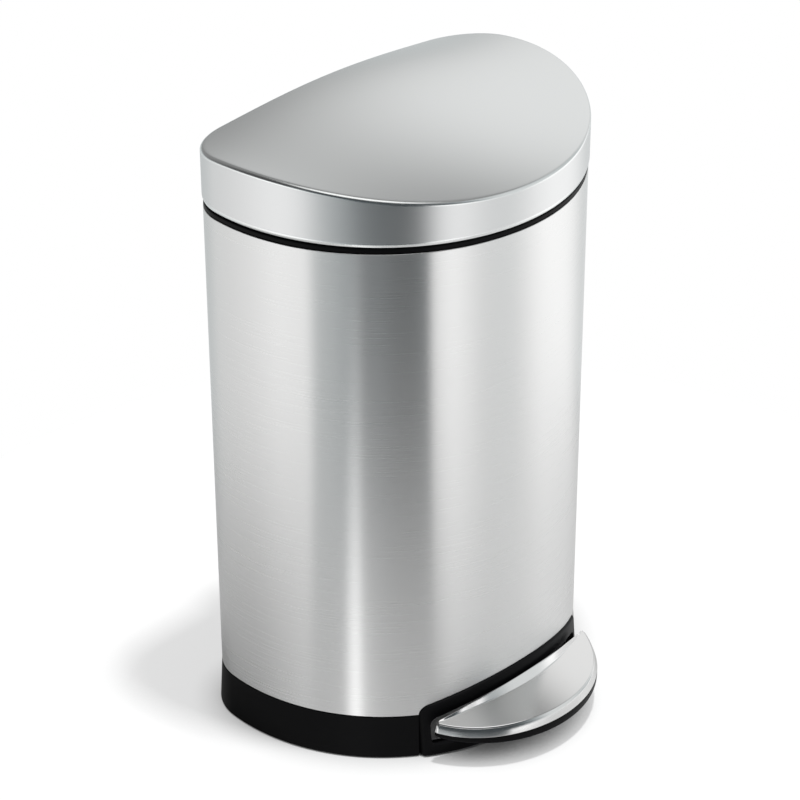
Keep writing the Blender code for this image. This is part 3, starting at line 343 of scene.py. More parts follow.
class Wires:
    """A node tree with short ways to add and join nodes."""

    def __init__(self, tree: bpy.types.NodeTree) -> None:
        """Takes the tree as it is."""
        self.tree = tree

    def node(self, kind: str, **settings: object) -> bpy.types.Node:
        """Adds a node and sets its properties.

        Args:
            kind: the node's type name.
            **settings: its properties and their values.

        Returns:
            The node.
        """
        made = self.tree.nodes.new(kind)
        for key, value in settings.items():
            setattr(made, key, value)
        return made

    def join(self, source: object, sink: Socket) -> None:
        """Links a socket to a sink, or writes a plain number there.

        Args:
            source: the socket or number.
            sink: the input socket.
        """
        if isinstance(source, bpy.types.NodeSocket):
            self.tree.links.new(source, sink)
        else:
            sink.default_value = float(source)

    def math(self, operation: str, first: object, second: object = 0.0) -> Socket:
        """Adds a math node.

        Args:
            operation: the node's operation.
            first: its first socket or number.
            second: its second socket or number.

        Returns:
            The node's output.
        """
        made = self.node("ShaderNodeMath", operation=operation)
        self.join(first, made.inputs[0])
        self.join(second, made.inputs[1])
        return made.outputs[0]

    def mix(self, share: Socket, first: Socket, second: Socket) -> Socket:
        """Adds a colour mix.

        Args:
            share: the second colour's share.
            first: the first colour.
            second: the second colour.

        Returns:
            The mixed colour.
        """
        made = self.node("ShaderNodeMix", data_type="RGBA")
        for name, source in zip(("Factor", "A", "B"), (share, first, second)):
            self.join(source, made.inputs[name])
        return made.outputs["Result"]

    def ramp_value(
        self,
        value: object,
        low: float,
        high: float,
        to_low: float = 0.0,
        to_high: float = 1.0,
        kind: str = "SMOOTHSTEP",
    ) -> Socket:
        """Maps a value from one range to another and holds it at the ends.

        Args:
            value: the socket or number to map.
            low: the input that gives to_low.
            high: the input that gives to_high.
            to_low: the output at and below low.
            to_high: the output at and above high.
            kind: the node's interpolation.

        Returns:
            The mapped value.
        """
        made = self.node("ShaderNodeMapRange", interpolation_type=kind)
        names = ("Value", "From Min", "From Max", "To Min", "To Max")
        for name, source in zip(names, (value, low, high, to_low, to_high)):
            self.join(source, made.inputs[name])
        return made.outputs[0]

    def noise(self, place: Socket, scale: object, detail: float, rough: float = 0.5) -> Socket:
        """Adds a noise texture.

        Args:
            place: the coordinates that it reads.
            scale: its cells per unit of those coordinates.
            detail: its octaves.
            rough: how strong the finer octaves are.

        Returns:
            The noise's value.
        """
        made = self.node("ShaderNodeTexNoise")
        names = ("Vector", "Scale", "Detail", "Roughness")
        for name, source in zip(names, (place, scale, detail, rough)):
            self.join(source, made.inputs[name])
        return made.outputs["Fac"]


class GroupBuilder(Wires):
    """A new shader node group with named inputs and outputs."""

    def __init__(self, name: str) -> None:
        """Starts a group with a vector input named Place.

        Args:
            name: the group's name.
        """
        super().__init__(bpy.data.node_groups.new(name, "ShaderNodeTree"))
        self.tree.interface.new_socket("Place", in_out="INPUT", socket_type="NodeSocketVector")
        self.source = self.node("NodeGroupInput")
        self.sink = self.node("NodeGroupOutput")
        self.place = self.source.outputs["Place"]

    def value_in(self, name: str, default: float) -> Socket:
        """Adds a float input.

        Args:
            name: the input's name.
            default: its value where nothing is set.

        Returns:
            The input's socket inside the group.
        """
        made = self.tree.interface.new_socket(name, in_out="INPUT", socket_type="NodeSocketFloat")
        made.default_value = default
        return self.source.outputs[name]

    def value_out(self, name: str, socket: Socket) -> None:
        """Adds a float output fed by a socket of the group."""
        self.tree.interface.new_socket(name, in_out="OUTPUT", socket_type="NodeSocketFloat")
        self.join(socket, self.sink.inputs[name])


@dataclass(frozen=True)
class LineLayer:
    """One layer of scratches: noise cells per millimetre along and across them, and its share."""

    along: float
    across: float
    detail: float
    rough: float
    share: float


FINE_LINES = LineLayer(0.012, 3.1, 3.0, 0.6, 1.3)
COARSE_LINES = LineLayer(0.006, 1.1, 2.0, 0.5, 0.35)
CLOUDS = LineLayer(0.011, 0.02, 2.0, 0.5, 0.4)


def brushed_lines_group() -> bpy.types.ShaderNodeTree:
    """Fine parallel scratches: noise that changes fast along one way and slowly across it.

    Three layers are added: lines a third of a millimetre apart, coarser ones about a
    millimetre apart and broad clouds. Place is the pattern's own coordinates, in millimetres,
    and the lines lie level, at right angles to its Z.

    Returns:
        The group, whose Lines output has all three layers and whose Height has the two finer.
    """
    group = GroupBuilder("brushed_lines")
    parts = []
    for layer in (FINE_LINES, COARSE_LINES, CLOUDS):
        scaled = group.node("ShaderNodeMapping")
        scaled.inputs["Scale"].default_value = (layer.along, layer.along, layer.across)
        group.join(group.place, scaled.inputs["Vector"])
        value = group.noise(scaled.outputs[0], 1.0, layer.detail, layer.rough)
        parts.append(group.math("MULTIPLY", group.math("SUBTRACT", value, 0.5), layer.share))
    lines = group.math("ADD", parts[0], parts[1])
    group.value_out("Lines", group.math("ADD", group.math("ADD", lines, parts[2]), 0.5))
    group.value_out("Height", group.math("ADD", lines, 0.5))
    return group.tree


def moulded_skin_group() -> bpy.types.ShaderNodeTree:
    """Fine skin of moulded plastic: two sizes of noise, for its height and its shine.

    Returns:
        The group, whose Place is in metres.
    """
    group = GroupBuilder("moulded_skin")
    pitch = group.value_in("Grains per metre", 2500.0)
    group.value_out("Height", group.noise(group.place, pitch, detail=2.0, rough=0.6))
    group.value_out("Shine", group.noise(group.place, scale=14.0, detail=3.0))
    return group.tree


# Finishes


class FinishWires(Wires):
    """The tree of one finish: a Principled shader and one pattern group."""

    def __init__(self, name: str, pattern: bpy.types.ShaderNodeTree) -> None:
        """Makes the material and puts the pattern group in it.

        Args:
            name: the material's name.
            pattern: the pattern group.
        """
        self.material = bpy.data.materials.new(name)
        self.material.use_nodes = True
        super().__init__(self.material.node_tree)
        self.shader = self.tree.nodes["Principled BSDF"].inputs
        self.place = self.node("ShaderNodeTexCoord").outputs["Object"]
        self.pattern = self.node("ShaderNodeGroup", node_tree=pattern)

    def around(self, output: str, middle: float, change: float) -> Socket:
        """Turns a pattern's output into values from middle - change to middle + change."""
        value = self.pattern.outputs[output]
        return self.ramp_value(value, 0.0, 1.0, middle - change, middle + change, "LINEAR")

    def relief(self, strength: float, depth: float) -> None:
        """Raises the surface by the pattern's height.

        Args:
            strength: how much of the bump shows.
            depth: the height in metres that a value of one stands for.
        """
        bump = self.node("ShaderNodeBump")
        sources = (strength, depth, self.pattern.outputs["Height"])
        for name, source in zip(("Strength", "Distance", "Height"), sources):
            self.join(source, bump.inputs[name])
        self.join(bump.outputs[0], self.shader["Normal"])


@dataclass(frozen=True)
class BrushedSteel:
    """Brushed stainless sheet: metal with long fine scratches that stretch its reflections."""

    name: str
    grain: Grain
    colour: tuple[float, float, float] = (0.80, 0.80, 0.795)
    roughness: float = 0.28
    stretch: float = 1.0
    line_depth: float = 0.000002
    tone_change: float = 0.010
    roughness_change: float = 0.03
    relief: float = 0.25

    def build(self, lines: bpy.types.ShaderNodeTree) -> bpy.types.Material:
        """Builds the material around the brushed line group.

        The pattern is turned so that its lines run round the body, or from side to side over
        the lid. The tangent, with its rotation, lies at right angles to them, which is the
        way in which brushed metal stretches its reflections.

        Args:
            lines: the brushed line group.

        Returns:
            The material.
        """
        wires = FinishWires(self.name, lines)
        shader = wires.shader
        over_lid = self.grain is Grain.ACROSS_THE_LID
        turn = wires.node("ShaderNodeMapping")
        turn.inputs["Scale"].default_value = (MM_PER_METRE, MM_PER_METRE, MM_PER_METRE)
        turn.inputs["Rotation"].default_value[0] = math.radians(90.0 if over_lid else 0.0)
        wires.join(wires.place, turn.inputs["Vector"])
        wires.join(turn.outputs[0], wires.pattern.inputs["Place"])
        axis = "X" if over_lid else "Z"
        tangent = wires.node("ShaderNodeTangent", direction_type="RADIAL", axis=axis)
        wires.join(tangent.outputs[0], shader["Tangent"])
        tint = wires.node("ShaderNodeVectorMath", operation="SCALE")
        tint.inputs[0].default_value = self.colour
        wires.join(wires.around("Lines", 1.0, self.tone_change), tint.inputs["Scale"])
        wires.join(tint.outputs[0], shader["Base Color"])
        roughness = wires.around("Lines", self.roughness, self.roughness_change / 2.0)
        wires.join(roughness, shader["Roughness"])
        wires.join(1.0, shader["Metallic"])
        wires.join(self.stretch, shader["Anisotropic"])
        wires.join(0.0 if over_lid else 0.25, shader["Anisotropic Rotation"])
        wires.relief(self.relief, self.line_depth)
        return wires.material


@dataclass(frozen=True)
class MouldedPlastic:
    """A cloudy satin skin: plastic, rubber and, with metallic at one, plated steel."""

    name: str
    colour: tuple[float, float, float]
    roughness: float
    roughness_change: float = 0.08
    grains_per_metre: float = 2500.0
    skin_depth: float = 0.00002
    specular: float = 0.2
    metallic: float = 0.0
    relief: float = 0.35

    def build(self, skin: bpy.types.ShaderNodeTree) -> bpy.types.Material:
        """Builds the material around the moulded skin group.

        Args:
            skin: the moulded skin group.

        Returns:
            The material.
        """
        wires = FinishWires(self.name, skin)
        shader = wires.shader
        shader["Base Color"].default_value = (*self.colour, 1.0)
        wires.join(self.specular, shader["Specular IOR Level"])
        wires.join(self.metallic, shader["Metallic"])
        wires.join(self.grains_per_metre, wires.pattern.inputs["Grains per metre"])
        wires.join(wires.place, wires.pattern.inputs["Place"])
        roughness = wires.around("Shine", self.roughness, self.roughness_change / 2.0)
        wires.join(roughness, shader["Roughness"])
        wires.relief(self.relief, self.skin_depth)
        return wires.material


class Finishes:
    """Every finish of the bin, built once."""

    def __init__(self) -> None:
        """Builds the two pattern groups and then the materials."""
        lines = brushed_lines_group()
        skin = moulded_skin_group()
        self.body_steel = BrushedSteel("body_brushed_steel", Grain.ROUND_THE_BODY).build(lines)
        self.lid_steel = BrushedSteel(
            "lid_brushed_steel", Grain.ACROSS_THE_LID, (0.785, 0.80, 0.797), 0.22, 0.5
        ).build(lines)
        # The lid's upright skirt is the same steel as the dome; this darker copy of it paints shade on the
        # skirt.
        self.painted_shade_skirt_metal = BrushedSteel(
            "skirt_metal_with_painted_shade", Grain.ROUND_THE_BODY, (0.72, 0.725, 0.725), 0.36, 0.6
        ).build(lines)
        self.pedal_steel = BrushedSteel(
            "pedal_steel", Grain.ACROSS_THE_LID, roughness=0.16, stretch=0.3, roughness_change=0.02
        ).build(lines)
        self.black_plastic = MouldedPlastic(
            "black_satin_plastic", (0.006, 0.006, 0.0065), 0.38, specular=0.06
        ).build(skin)
        self.bucket_plastic = MouldedPlastic("bucket_plastic", (0.03, 0.03, 0.032), 0.55).build(skin)
        self.rubber = MouldedPlastic("black_rubber", (0.015, 0.015, 0.015), 0.8, 0.1, 1200.0).build(skin)
        self.plated = MouldedPlastic(
            "zinc_plated_steel", (0.55, 0.56, 0.57), 0.36, 0.16, 900.0, 0.000008, metallic=1.0
        ).build(skin)
        self.damper = MouldedPlastic("grey_damper_plastic", (0.2, 0.2, 0.21), 0.45).build(skin)


# Pieces


@dataclass(frozen=True)
class PedalBay:
    """The arched place in the base where the pedal comes out, shared by three pieces.

    The arch's height at x is top - x * x / (2 * arch_radius), less a quarter circle at each
    end of the span.
    """

    half_width: float
    top: float
    arch_radius: float
    corner: float

    def height(self, x: Array) -> Array:
        """Works out the arch's height.

        Args:
            x: places inside the span.

        Returns:
            The height at each place.
        """
        past = np.clip(np.abs(x) - (self.half_width - self.corner), 0.0, self.corner)
        drop = self.corner - np.sqrt(np.maximum(self.corner**2 - past**2, 0.0))
        return self.top - x * x / (2.0 * self.arch_radius) - drop


@dataclass
class BodySheet:
    """The brushed steel wall of the body, with a rolled edge at its top and bottom."""

    sheet: float = 0.0008
    bottom: float = 0.0334
    top: float = 0.3812
    edge_radius: float = 0.0004
    bay: PedalBay = PedalBay(0.0779, 0.0533, 0.2113, 0.0054)
    bay_step: float = 0.0001
    side_columns: int = 50
    bay_columns: int = 161

    def columns(self) -> tuple[Array, Array]:
        """Places the wall's columns along the front arc, close together over the bay.

        Returns:
            The columns' angles and the wall's lower edge at each, with a step at the bay's
            two sides.
        """
        plan = BODY_PLAN
        edge = math.asin(self.bay.half_width / plan.arc_radius)
        outer = np.linspace(-plan.half_arc, -edge - self.bay_step, self.side_columns)
        turn = np.linspace(-math.pi / 2.0, math.pi / 2.0, self.bay_columns)
        inner_x = self.bay.half_width * np.sin(turn)
        inner = np.arcsin(inner_x / plan.arc_radius)
        angles = np.concatenate([outer, inner, -outer[::-1]])
        low = np.full(len(angles), self.bottom)
        low[len(outer) : len(outer) + len(inner)] = self.bay.height(inner_x)
        return angles, low

    def build(self, finish: bpy.types.Material) -> bpy.types.Object:
        """Sweeps the sheet's rounded section round the plan between two changing heights.

        The section is drawn one metre high. Its lower half then rises from the lower edge,
        and its upper half hangs from the top edge.

        Args:
            finish: the steel.

        Returns:
            The wall.
        """
        angles, low = self.columns()
        rear_count = len(BODY_PLAN.rear())
        low = np.concatenate([low, np.full(rear_count - 1, self.bottom)])
        corners = np.array([(0.0, 0.0), (0.0, 1.0), (-self.sheet, 1.0), (-self.sheet, 0.0)])
        loops = []
        for offset, rise in fillet_profile(corners, [self.edge_radius] * 4):
            outline = np.concatenate([BODY_PLAN.arc(angles, offset), BODY_PLAN.rear(offset)])[:-1]
            height = low + rise if rise < 0.5 else np.full(len(low), self.top - (1.0 - rise))
            loops.append(np.c_[outline, height])
        points, faces = ring_loft(np.stack(loops))
        piece = make_piece("body_sheet", points, faces, finish)
        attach(piece, Body.BIN.value)
        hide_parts("body_shell")
        return piece


@dataclass
class LidSheet:
    """The domed steel lid: a tucked hem, an upright skirt, a rounded crease and the dome.

    The dome's height is peak + tilt * y - y * y / (2 * depth_radius) - x * x / (2 *
    width_radius) + side_lift * (x / side_reach) ** 4, so that it levels out at its sides. The
    crease is an arc between the upright skirt and the dome's slope.
    """

    overhang: float = 0.0006
    shift_y: float = -0.0001
    edge_z: float = 0.3864
    edge_slope: float = 0.0047
    hem_height: float = 0.0030
    hem_loops: int = 9
    tuck: float = 0.0007
    skirt_shares: tuple[float, ...] = (0.06, 0.35, 0.65, 0.94)
    upright_limit: float = 0.06
    peak: float = 0.4320
    tilt: float = 0.0882
    depth_radius: float = 0.3155
    width_radius: float = 0.6512
    side_lift: float = 0.0016
    side_reach: float = 0.100
    dome_steps: tuple[float, ...] = (
        0.012, 0.05, 0.1, 0.16, 0.23, 0.31, 0.4, 0.5, 0.6, 0.7, 0.8, 0.88, 0.95
    )
    crease: float = 0.00265
    least_crease: float = 0.0004
    crease_steps: int = 9
    sheet: float = 0.0008
    notch_half_width: float = 0.0426
    notch_front_y: float = 0.07415
    notch_low: float = 0.3700
    notch_top: float = 0.3895

    def outline(self, offset: float | Array) -> Array:
        """Moves the lid's plan outline out.

        Args:
            offset: how far, the same all round or one value for each point.

        Returns:
            (n, 2) points of the outline.
        """
        if np.ndim(offset) == 0:
            plan = BODY_PLAN.outline(self.overhang + float(offset))
        else:
            near = BODY_PLAN.outline(self.overhang)
            unit = BODY_PLAN.outline(self.overhang + 1.0) - near
            plan = near + unit * np.asarray(offset)[:, None]
        return plan + np.array([0.0, self.shift_y])

    def dome(self, x: Array, y: Array) -> Array:
        """Height of the dome at each place."""
        fall = y * y / (2.0 * self.depth_radius) + x * x / (2.0 * self.width_radius)
        return self.peak + self.tilt * y - fall + self.side_lift * (x / self.side_reach) ** 4

    def dome_slope(self, x: Array, y: Array, way: Array) -> Array:
        """Slope of the dome at each place along each unit plan direction of way."""
        along_x = 4.0 * self.side_lift * x**3 / self.side_reach**4 - x / self.width_radius
        return (self.tilt - y / self.depth_radius) * way[:, 1] + along_x * way[:, 0]

    def hem(self, share: float, inset: float) -> Array:
        """Makes one loop of the hem, which is tucked in by the square of its way down.

        Args:
            share: 0 at the hem's lower edge and 1 at the upright skirt.
            inset: how far the loop lies inside the outer face.

        Returns:
            (n, 3) points of the loop.
        """
        plan = self.outline(-inset - self.tuck * (1.0 - share) ** 2)
        lower_edge = self.edge_z + self.edge_slope * plan[:, 1]
        return np.c_[plan, lower_edge + self.hem_height * share]

    def crease_arc(self, inset: float) -> list[Array]:
        """Makes the arc between skirt and dome, which meets the dome at the dome's own slope.

        Args:
            inset: how far the arc lies inside the outer face.

        Returns:
            The arc's loops, from the skirt to the dome.
        """
        radius = max(self.crease - inset, self.least_crease)
        middle_offset = np.full(BODY_PLAN.count, -inset - radius)
        middle = self.outline(middle_offset)
        unit = self.outline(middle_offset + 1.0) - middle
        slope = self.dome_slope(middle[:, 0], middle[:, 1], unit)
        lean = np.arctan(np.maximum(-slope, 0.0))
        height = self.dome(middle[:, 0], middle[:, 1]) - inset - radius / np.cos(lean)
        loops = []
        for share in np.linspace(0.0, 1.0, self.crease_steps):
            angle = share * (math.pi / 2.0 - lean)
            plan = middle + unit * (radius * np.cos(angle))[:, None]
            loops.append(np.c_[plan, height + radius * np.sin(angle)])
        return loops

    def half(self, inset: float) -> list[Array]:
        """Makes one face of the sheet: hem, skirt, crease and dome.

        Args:
            inset: how far the face lies inside the outer one.

        Returns:
            The face's loops, from its lower edge to the last one round the dome's middle.
        """
        loops = [self.hem(share, inset) for share in np.linspace(0.0, 1.0, self.hem_loops)]
        crease = self.crease_arc(inset)
        skirt_low, skirt_high = loops[-1], crease[0]
        for share in self.skirt_shares:
            loops.append(skirt_low * (1.0 - share) + skirt_high * share)
        loops += crease
        for step in self.dome_steps:
            plan = crease[-1][:, :2] * (1.0 - step)
            loops.append(np.c_[plan, self.dome(plan[:, 0], plan[:, 1]) - inset])
        return loops

    def build(self, finish: bpy.types.Material, skirt_painted_shade_steel: bpy.types.Material) -> bpy.types.Object:
        """Joins the outer and inner faces of the sheet at the hem and notches the back.

        Args:
            finish: the steel of the dome and its crease.
            skirt_painted_shade_steel: a darker copy of the same steel for the upright skirt, which paints
                shade on it.

        Returns:
            The lid's sheet.
        """
        outer = self.half(0.0)
        inner = self.half(self.sheet)
        loops = np.stack(inner[::-1] + outer)
        top = np.array([0.0, 0.0, self.peak])
        points, faces = poled_loft(loops, top - np.array([0.0, 0.0, self.sheet]), top)
        piece = make_piece("lid_sheet", points, faces, finish)
        piece.data.materials.append(skirt_painted_shade_steel)
        # Upright faces take the darker copy of the steel: painted shade on the lid's skirt.
        normals = np.empty(len(piece.data.polygons) * 3)
        piece.data.polygons.foreach_get("normal", normals)
        upright = np.abs(normals.reshape(-1, 3)[:, 2]) < self.upright_limit
        piece.data.polygons.foreach_set("material_index", upright.astype(np.int32))
        cut_notch(piece, self.notch_half_width, self.notch_front_y, self.notch_low, self.notch_top)
        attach(piece, Body.LID.value)
        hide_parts("lid_shell")
        return piece


@dataclass
class TopRings:
    """The black collar on the body's top edge and the black liner under the lid.

    Lengths without a height in their name are insets from the body's or the lid's outline.
    """

    collar_bottom: float = 0.3720
    collar_top: float = 0.3851
    collar_face: float = 0.0002
    collar_sleeve: float = 0.0011
    collar_inside: float = 0.0032
    shoulder: float = 0.3820
    ledge: float = 0.3797
    ledge_inside: float = 0.0080
    ledge_sheet: float = 0.0025
    collar_notch: tuple[float, float] = (0.3620, 0.3920)
    liner_rim: float = 0.3858
    liner_plate: float = 0.3927
    liner_top: float = 0.3987
    liner_face: float = 0.0019
    liner_inside: float = 0.0039
    rim_round: tuple[float, float] = (0.0003, 0.0006)
    top_round: tuple[float, float] = (0.0004, 0.0005)
    plate_sheet: float = 0.002
    liner_notch_low: float = 0.3700
    notch_half_width: float = 0.0208
    notch_front_y: float = 0.07415

    def collar_profile(self) -> Array:
        """Draws the collar: a sleeve inside the steel, the shown band and the bucket's ledge.

        Returns:
            The section's (offset, height) points.
        """
        face, sleeve, inside = -self.collar_face, -self.collar_sleeve, -self.collar_inside
        under_ledge = self.ledge - self.ledge_sheet
        corners = [
            (face, self.shoulder),
            (face, self.collar_top),
            (inside, self.collar_top),
            (inside, self.ledge),
            (-self.ledge_inside, self.ledge),
            (-self.ledge_inside, under_ledge),
            (inside, under_ledge),
            (inside, self.collar_bottom),
            (sleeve, self.collar_bottom),
            (sleeve, self.shoulder),
        ]
        radii = [0.0002, 0.0009, 0.0006, 0.0, 0.0004, 0.0004, 0.0, 0.0002, 0.0002, 0.0]
        return fillet_profile(np.array(corners), radii, 4)

    def build_collar(self, finish: bpy.types.Material) -> bpy.types.Object:
        """Sweeps the collar round the plan, open where the hinge arm passes.

        Args:
            finish: the black plastic.

        Returns:
            The collar.
        """
        points, faces = ring_loft(BODY_PLAN.sweep(self.collar_profile()))
        piece = make_piece("collar_ring", points, faces, finish)
        cut_notch(piece, self.notch_half_width, self.notch_front_y, *self.collar_notch)
        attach(piece, Body.BIN.value)
        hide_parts("top_collar")
        return piece

    def build_liner(self, lid: LidSheet, finish: bpy.types.Material) -> bpy.types.Object:
        """Makes the liner: a rim that hangs down round a flat plate.

        Args:
            lid: the sheet whose outline the liner follows.
            finish: the black plastic.

        Returns:
            The liner.
        """
        rim, plate, top = self.liner_rim, self.liner_plate, self.liner_top
        face, inside = -self.liner_face, -self.liner_inside
        rim_in, rim_up = self.rim_round
        top_in, top_down = self.top_round
        profile = [
            (inside, plate),
            (inside, rim + rim_up),
            (inside + rim_in, rim),
            (face - rim_in, rim),
            (face, rim + rim_up),
            (face, top - top_down),
            (face - top_in, top),
            (inside + top_in, top),
            (inside, top - top_down),
            (inside, plate + self.plate_sheet),
        ]
        count = BODY_PLAN.count
        loops = [np.c_[lid.outline(offset), np.full(count, height)] for offset, height in profile]
        low = np.array([0.0, 0.0, plate])
        high = np.array([0.0, 0.0, plate + self.plate_sheet])
        points, faces = poled_loft(np.stack(loops), low, high)
        piece = make_piece("liner_tray", points, faces, finish)
        cut_notch(piece, self.notch_half_width, self.notch_front_y, self.liner_notch_low, plate)
        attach(piece, Body.LID.value)
        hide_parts("lid_liner")
        return piece


def cut_notch(
    piece: bpy.types.Object, half_width: float, front_y: float, low: float, high: float
) -> None:
    """Cuts a box out of the back of a ring and applies the cut.

    Args:
        piece: the ring.
        half_width: half of the box's width.
        front_y: the box's front in plan coordinates.
        low: the box's underside.
        high: the box's top.
    """
    back_y = front_y + NOTCH_DEPTH
    corners = [(-half_width, front_y), (half_width, front_y), (half_width, back_y), (-half_width, back_y)]
    loops = np.array([[(*corner, height) for corner in corners] for height in (low, high)])
    points, faces = closed_loft(loops)
    cutter = make_piece(piece.name + "_notch", points, faces, piece.data.materials[0])
    modifier = piece.modifiers.new("notch", "BOOLEAN")
    modifier.object = cutter
    modifier.operation = "DIFFERENCE"
    modifier.solver = "EXACT"
    apply_modifiers(piece)
    bpy.data.objects.remove(cutter)


def apply_modifiers(piece: bpy.types.Object) -> None:
    """Replaces a piece's mesh by its evaluated mesh and drops its modifiers.

    Args:
        piece: the piece to change.
    """
    bpy.context.view_layer.update()
    graph = bpy.context.evaluated_depsgraph_get()
    mesh = bpy.data.meshes.new_from_object(piece.evaluated_get(graph))
    mesh.name = piece.name
    piece.modifiers.clear()
    piece.data = mesh


@dataclass
class Base:
    """The flared black band round the foot of the body, and the surround of the pedal.

    Names with sleeve, step and wall belong to the band's hidden inside, as insets from the
    steel and heights. The surround's two lips go back from its face by lip_depth rolls.
    """

    rise: float = 0.001
    band_top: float = 0.0331
    flare: float = 0.0019
    sleeve_top: float = 0.0440
    sleeve_face: float = 0.0011
    sleeve_inside: float = 0.0045
    step_high: float = 0.0297
    step_low: float = 0.0263
    wall_high: float = 0.0030
    wall_low: float = 0.00205
    band_gap: float = 0.0003
    band_columns: int = 70
    bay: PedalBay = PedalBay(0.0776, 0.0530, 0.211, 0.0051)
    opening: PedalBay = PedalBay(0.0722, 0.0415, 0.1976, 0.0040)
    sill: float = 0.0085
    foot_corner: float = 0.0008
    surround_flare: float = 0.0042
    surround_proud: float = 0.0014
    surround_depth: float = 0.0034
    surround_roll: float = 0.0014
    lip_depth: float = 1.3
    arch_points: int = 121
    side_points: int = 12
    corner_points: int = 7
    sill_points: int = 41
    lug_inset: float = 0.0115
    lug_radius: float = 0.011
    lug_low: float = 0.0035
    lug_high: float = 0.0095
    lug_round: float = 0.0008
    front_lug_angle: float = math.radians(52.0)
    rear_lug_angle: float = math.radians(50.0)

    def build_band(self, finish: bpy.types.Material) -> bpy.types.Object:
        """Sweeps the flared band round the sides and back, leaving the pedal's bay open.

        The section is the shown band with a sleeve that goes up inside the steel.

        Args:
            finish: the black plastic.

        Returns:
            The band.
        """
        corners = [
            (self.flare, self.rise),
            (0.0, self.band_top),
            (-self.sleeve_face, self.band_top),
            (-self.sleeve_face, self.sleeve_top),
            (-self.sleeve_inside, self.sleeve_top),
            (-self.sleeve_inside, self.step_high),
            (-self.wall_high, self.step_low),
            (-self.wall_low, self.rise),
        ]
        radii = [0.0005, 0.0008, 0.0, 0.0, 0.0, 0.0, 0.0, 0.0008]
        edge = math.asin((self.bay.half_width + self.band_gap) / BODY_PLAN.arc_radius)
        angles = np.linspace(edge, BODY_PLAN.half_arc, self.band_columns)
        rows = []
        for offset, height in fillet_profile(np.array(corners), radii):
            right = BODY_PLAN.arc(angles, offset)
            left = right[::-1] * MIRROR_X
            plan = np.concatenate([right, BODY_PLAN.rear(offset), left[1:]])
            rows.append(np.c_[plan, np.full(len(plan), height)])
        points, faces = closed_loft(np.stack(rows, 1))
        piece = make_piece("base_band", points, faces, finish, sharp_degrees=35.0)
        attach(piece, Body.BIN.value)
        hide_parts("base_skirt")
        return piece

    def build_lugs(self, finish: bpy.types.Material) -> list[bpy.types.Object]:
        """Turns the four round lugs that hold the rubber feet.

        Args:
            finish: the black plastic.

        Returns:
            The lugs.
        """
        front = BODY_PLAN.arc(np.array(self.front_lug_angle), -self.lug_inset)
        x, y = BODY_PLAN.corner_middle
        reach = BODY_PLAN.corner - self.lug_inset
        rear = (x + reach * math.cos(self.rear_lug_angle), y + reach * math.sin(self.rear_lug_angle))
        low, high, radius = self.lug_low, self.lug_high, self.lug_radius
        corners = np.array([(0.0, low), (radius, low), (radius, high), (0.0, high)])
        profile = fillet_profile(corners, [0.0, self.lug_round, self.lug_round, 0.0], 3)
        made = []
        for name, (x, y) in {"front": front, "rear": rear}.items():
            for side, word in ((-1.0, "left"), (1.0, "right")):
                points, faces = turned(profile, (side * x, y, 0.0), 40)
                piece = make_piece(f"foot_lug_{name}_{word}", points, faces, finish)
                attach(piece, Body.BIN.value)
                made.append(piece)
        return made

    def face_offset(self, height: Array) -> Array:
        """How far the surround's face stands out from the steel at each height."""
        share = np.clip(height / self.band_top, 0.0, 1.0)
        return self.surround_flare + (self.surround_proud - self.surround_flare) * share

    def build_surround(self, finish: bpy.types.Material) -> bpy.types.Object:
        """Makes the surround as a frame: a rounded section carried round the opening.

        The section runs from the opening's edge to the outer edge. A point at share s lies
        between the two edges, at the depth of the section below the leaning front face.

        Args:
            finish: the black plastic.

        Returns:
            The surround.
        """
        inner = self.frame_loop(self.opening, self.sill, self.opening.corner)
        outer = self.frame_loop(self.bay, self.rise, self.foot_corner)
        way = inner - outer
        way /= np.linalg.norm(way, axis=1)[:, None]
        loops = []
        for share, inset, depth in self.section():
            place = inner * (1.0 - share) + outer * share + way * inset
            if depth is None:
                reach = np.full(len(place), BODY_PLAN.arc_radius - self.surround_depth)
            else:
                reach = BODY_PLAN.arc_radius + (self.face_offset(place[:, 1]) - depth)
            y = BODY_PLAN.arc_y - np.sqrt(reach**2 - place[:, 0] ** 2)
            loops.append(np.stack([place[:, 0], y, place[:, 1]], -1))
        points, faces = ring_loft(np.stack(loops))
        piece = make_piece("surround_frame", points, faces, finish)
        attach(piece, Body.BIN.value)
        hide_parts("pedal_surround")
        return piece

    def section(self) -> list[tuple[float, float, float | None]]:
        """Draws the surround's section: a flat face with a quarter circle at either edge.

        Returns:
            Its (share, inset, depth) points; a depth of None lies on the back face.
        """
        roll = self.surround_roll
        lip = roll * self.lip_depth
        turn = np.linspace(0.0, math.pi / 2.0, 6)
        arc = [(roll * (1.0 - math.cos(angle)), roll * (1.0 - math.sin(angle))) for angle in turn]
        rows = [(0.0, 0.0, None), (0.0, 0.0, lip)]
        rows += [(0.0, -inset, depth) for inset, depth in arc]
        rows += [(0.5, 0.0, 0.0)]
        rows += [(1.0, inset, depth) for inset, depth in arc[::-1]]
        rows += [(1.0, 0.0, lip), (1.0, 0.0, None)]
        return rows

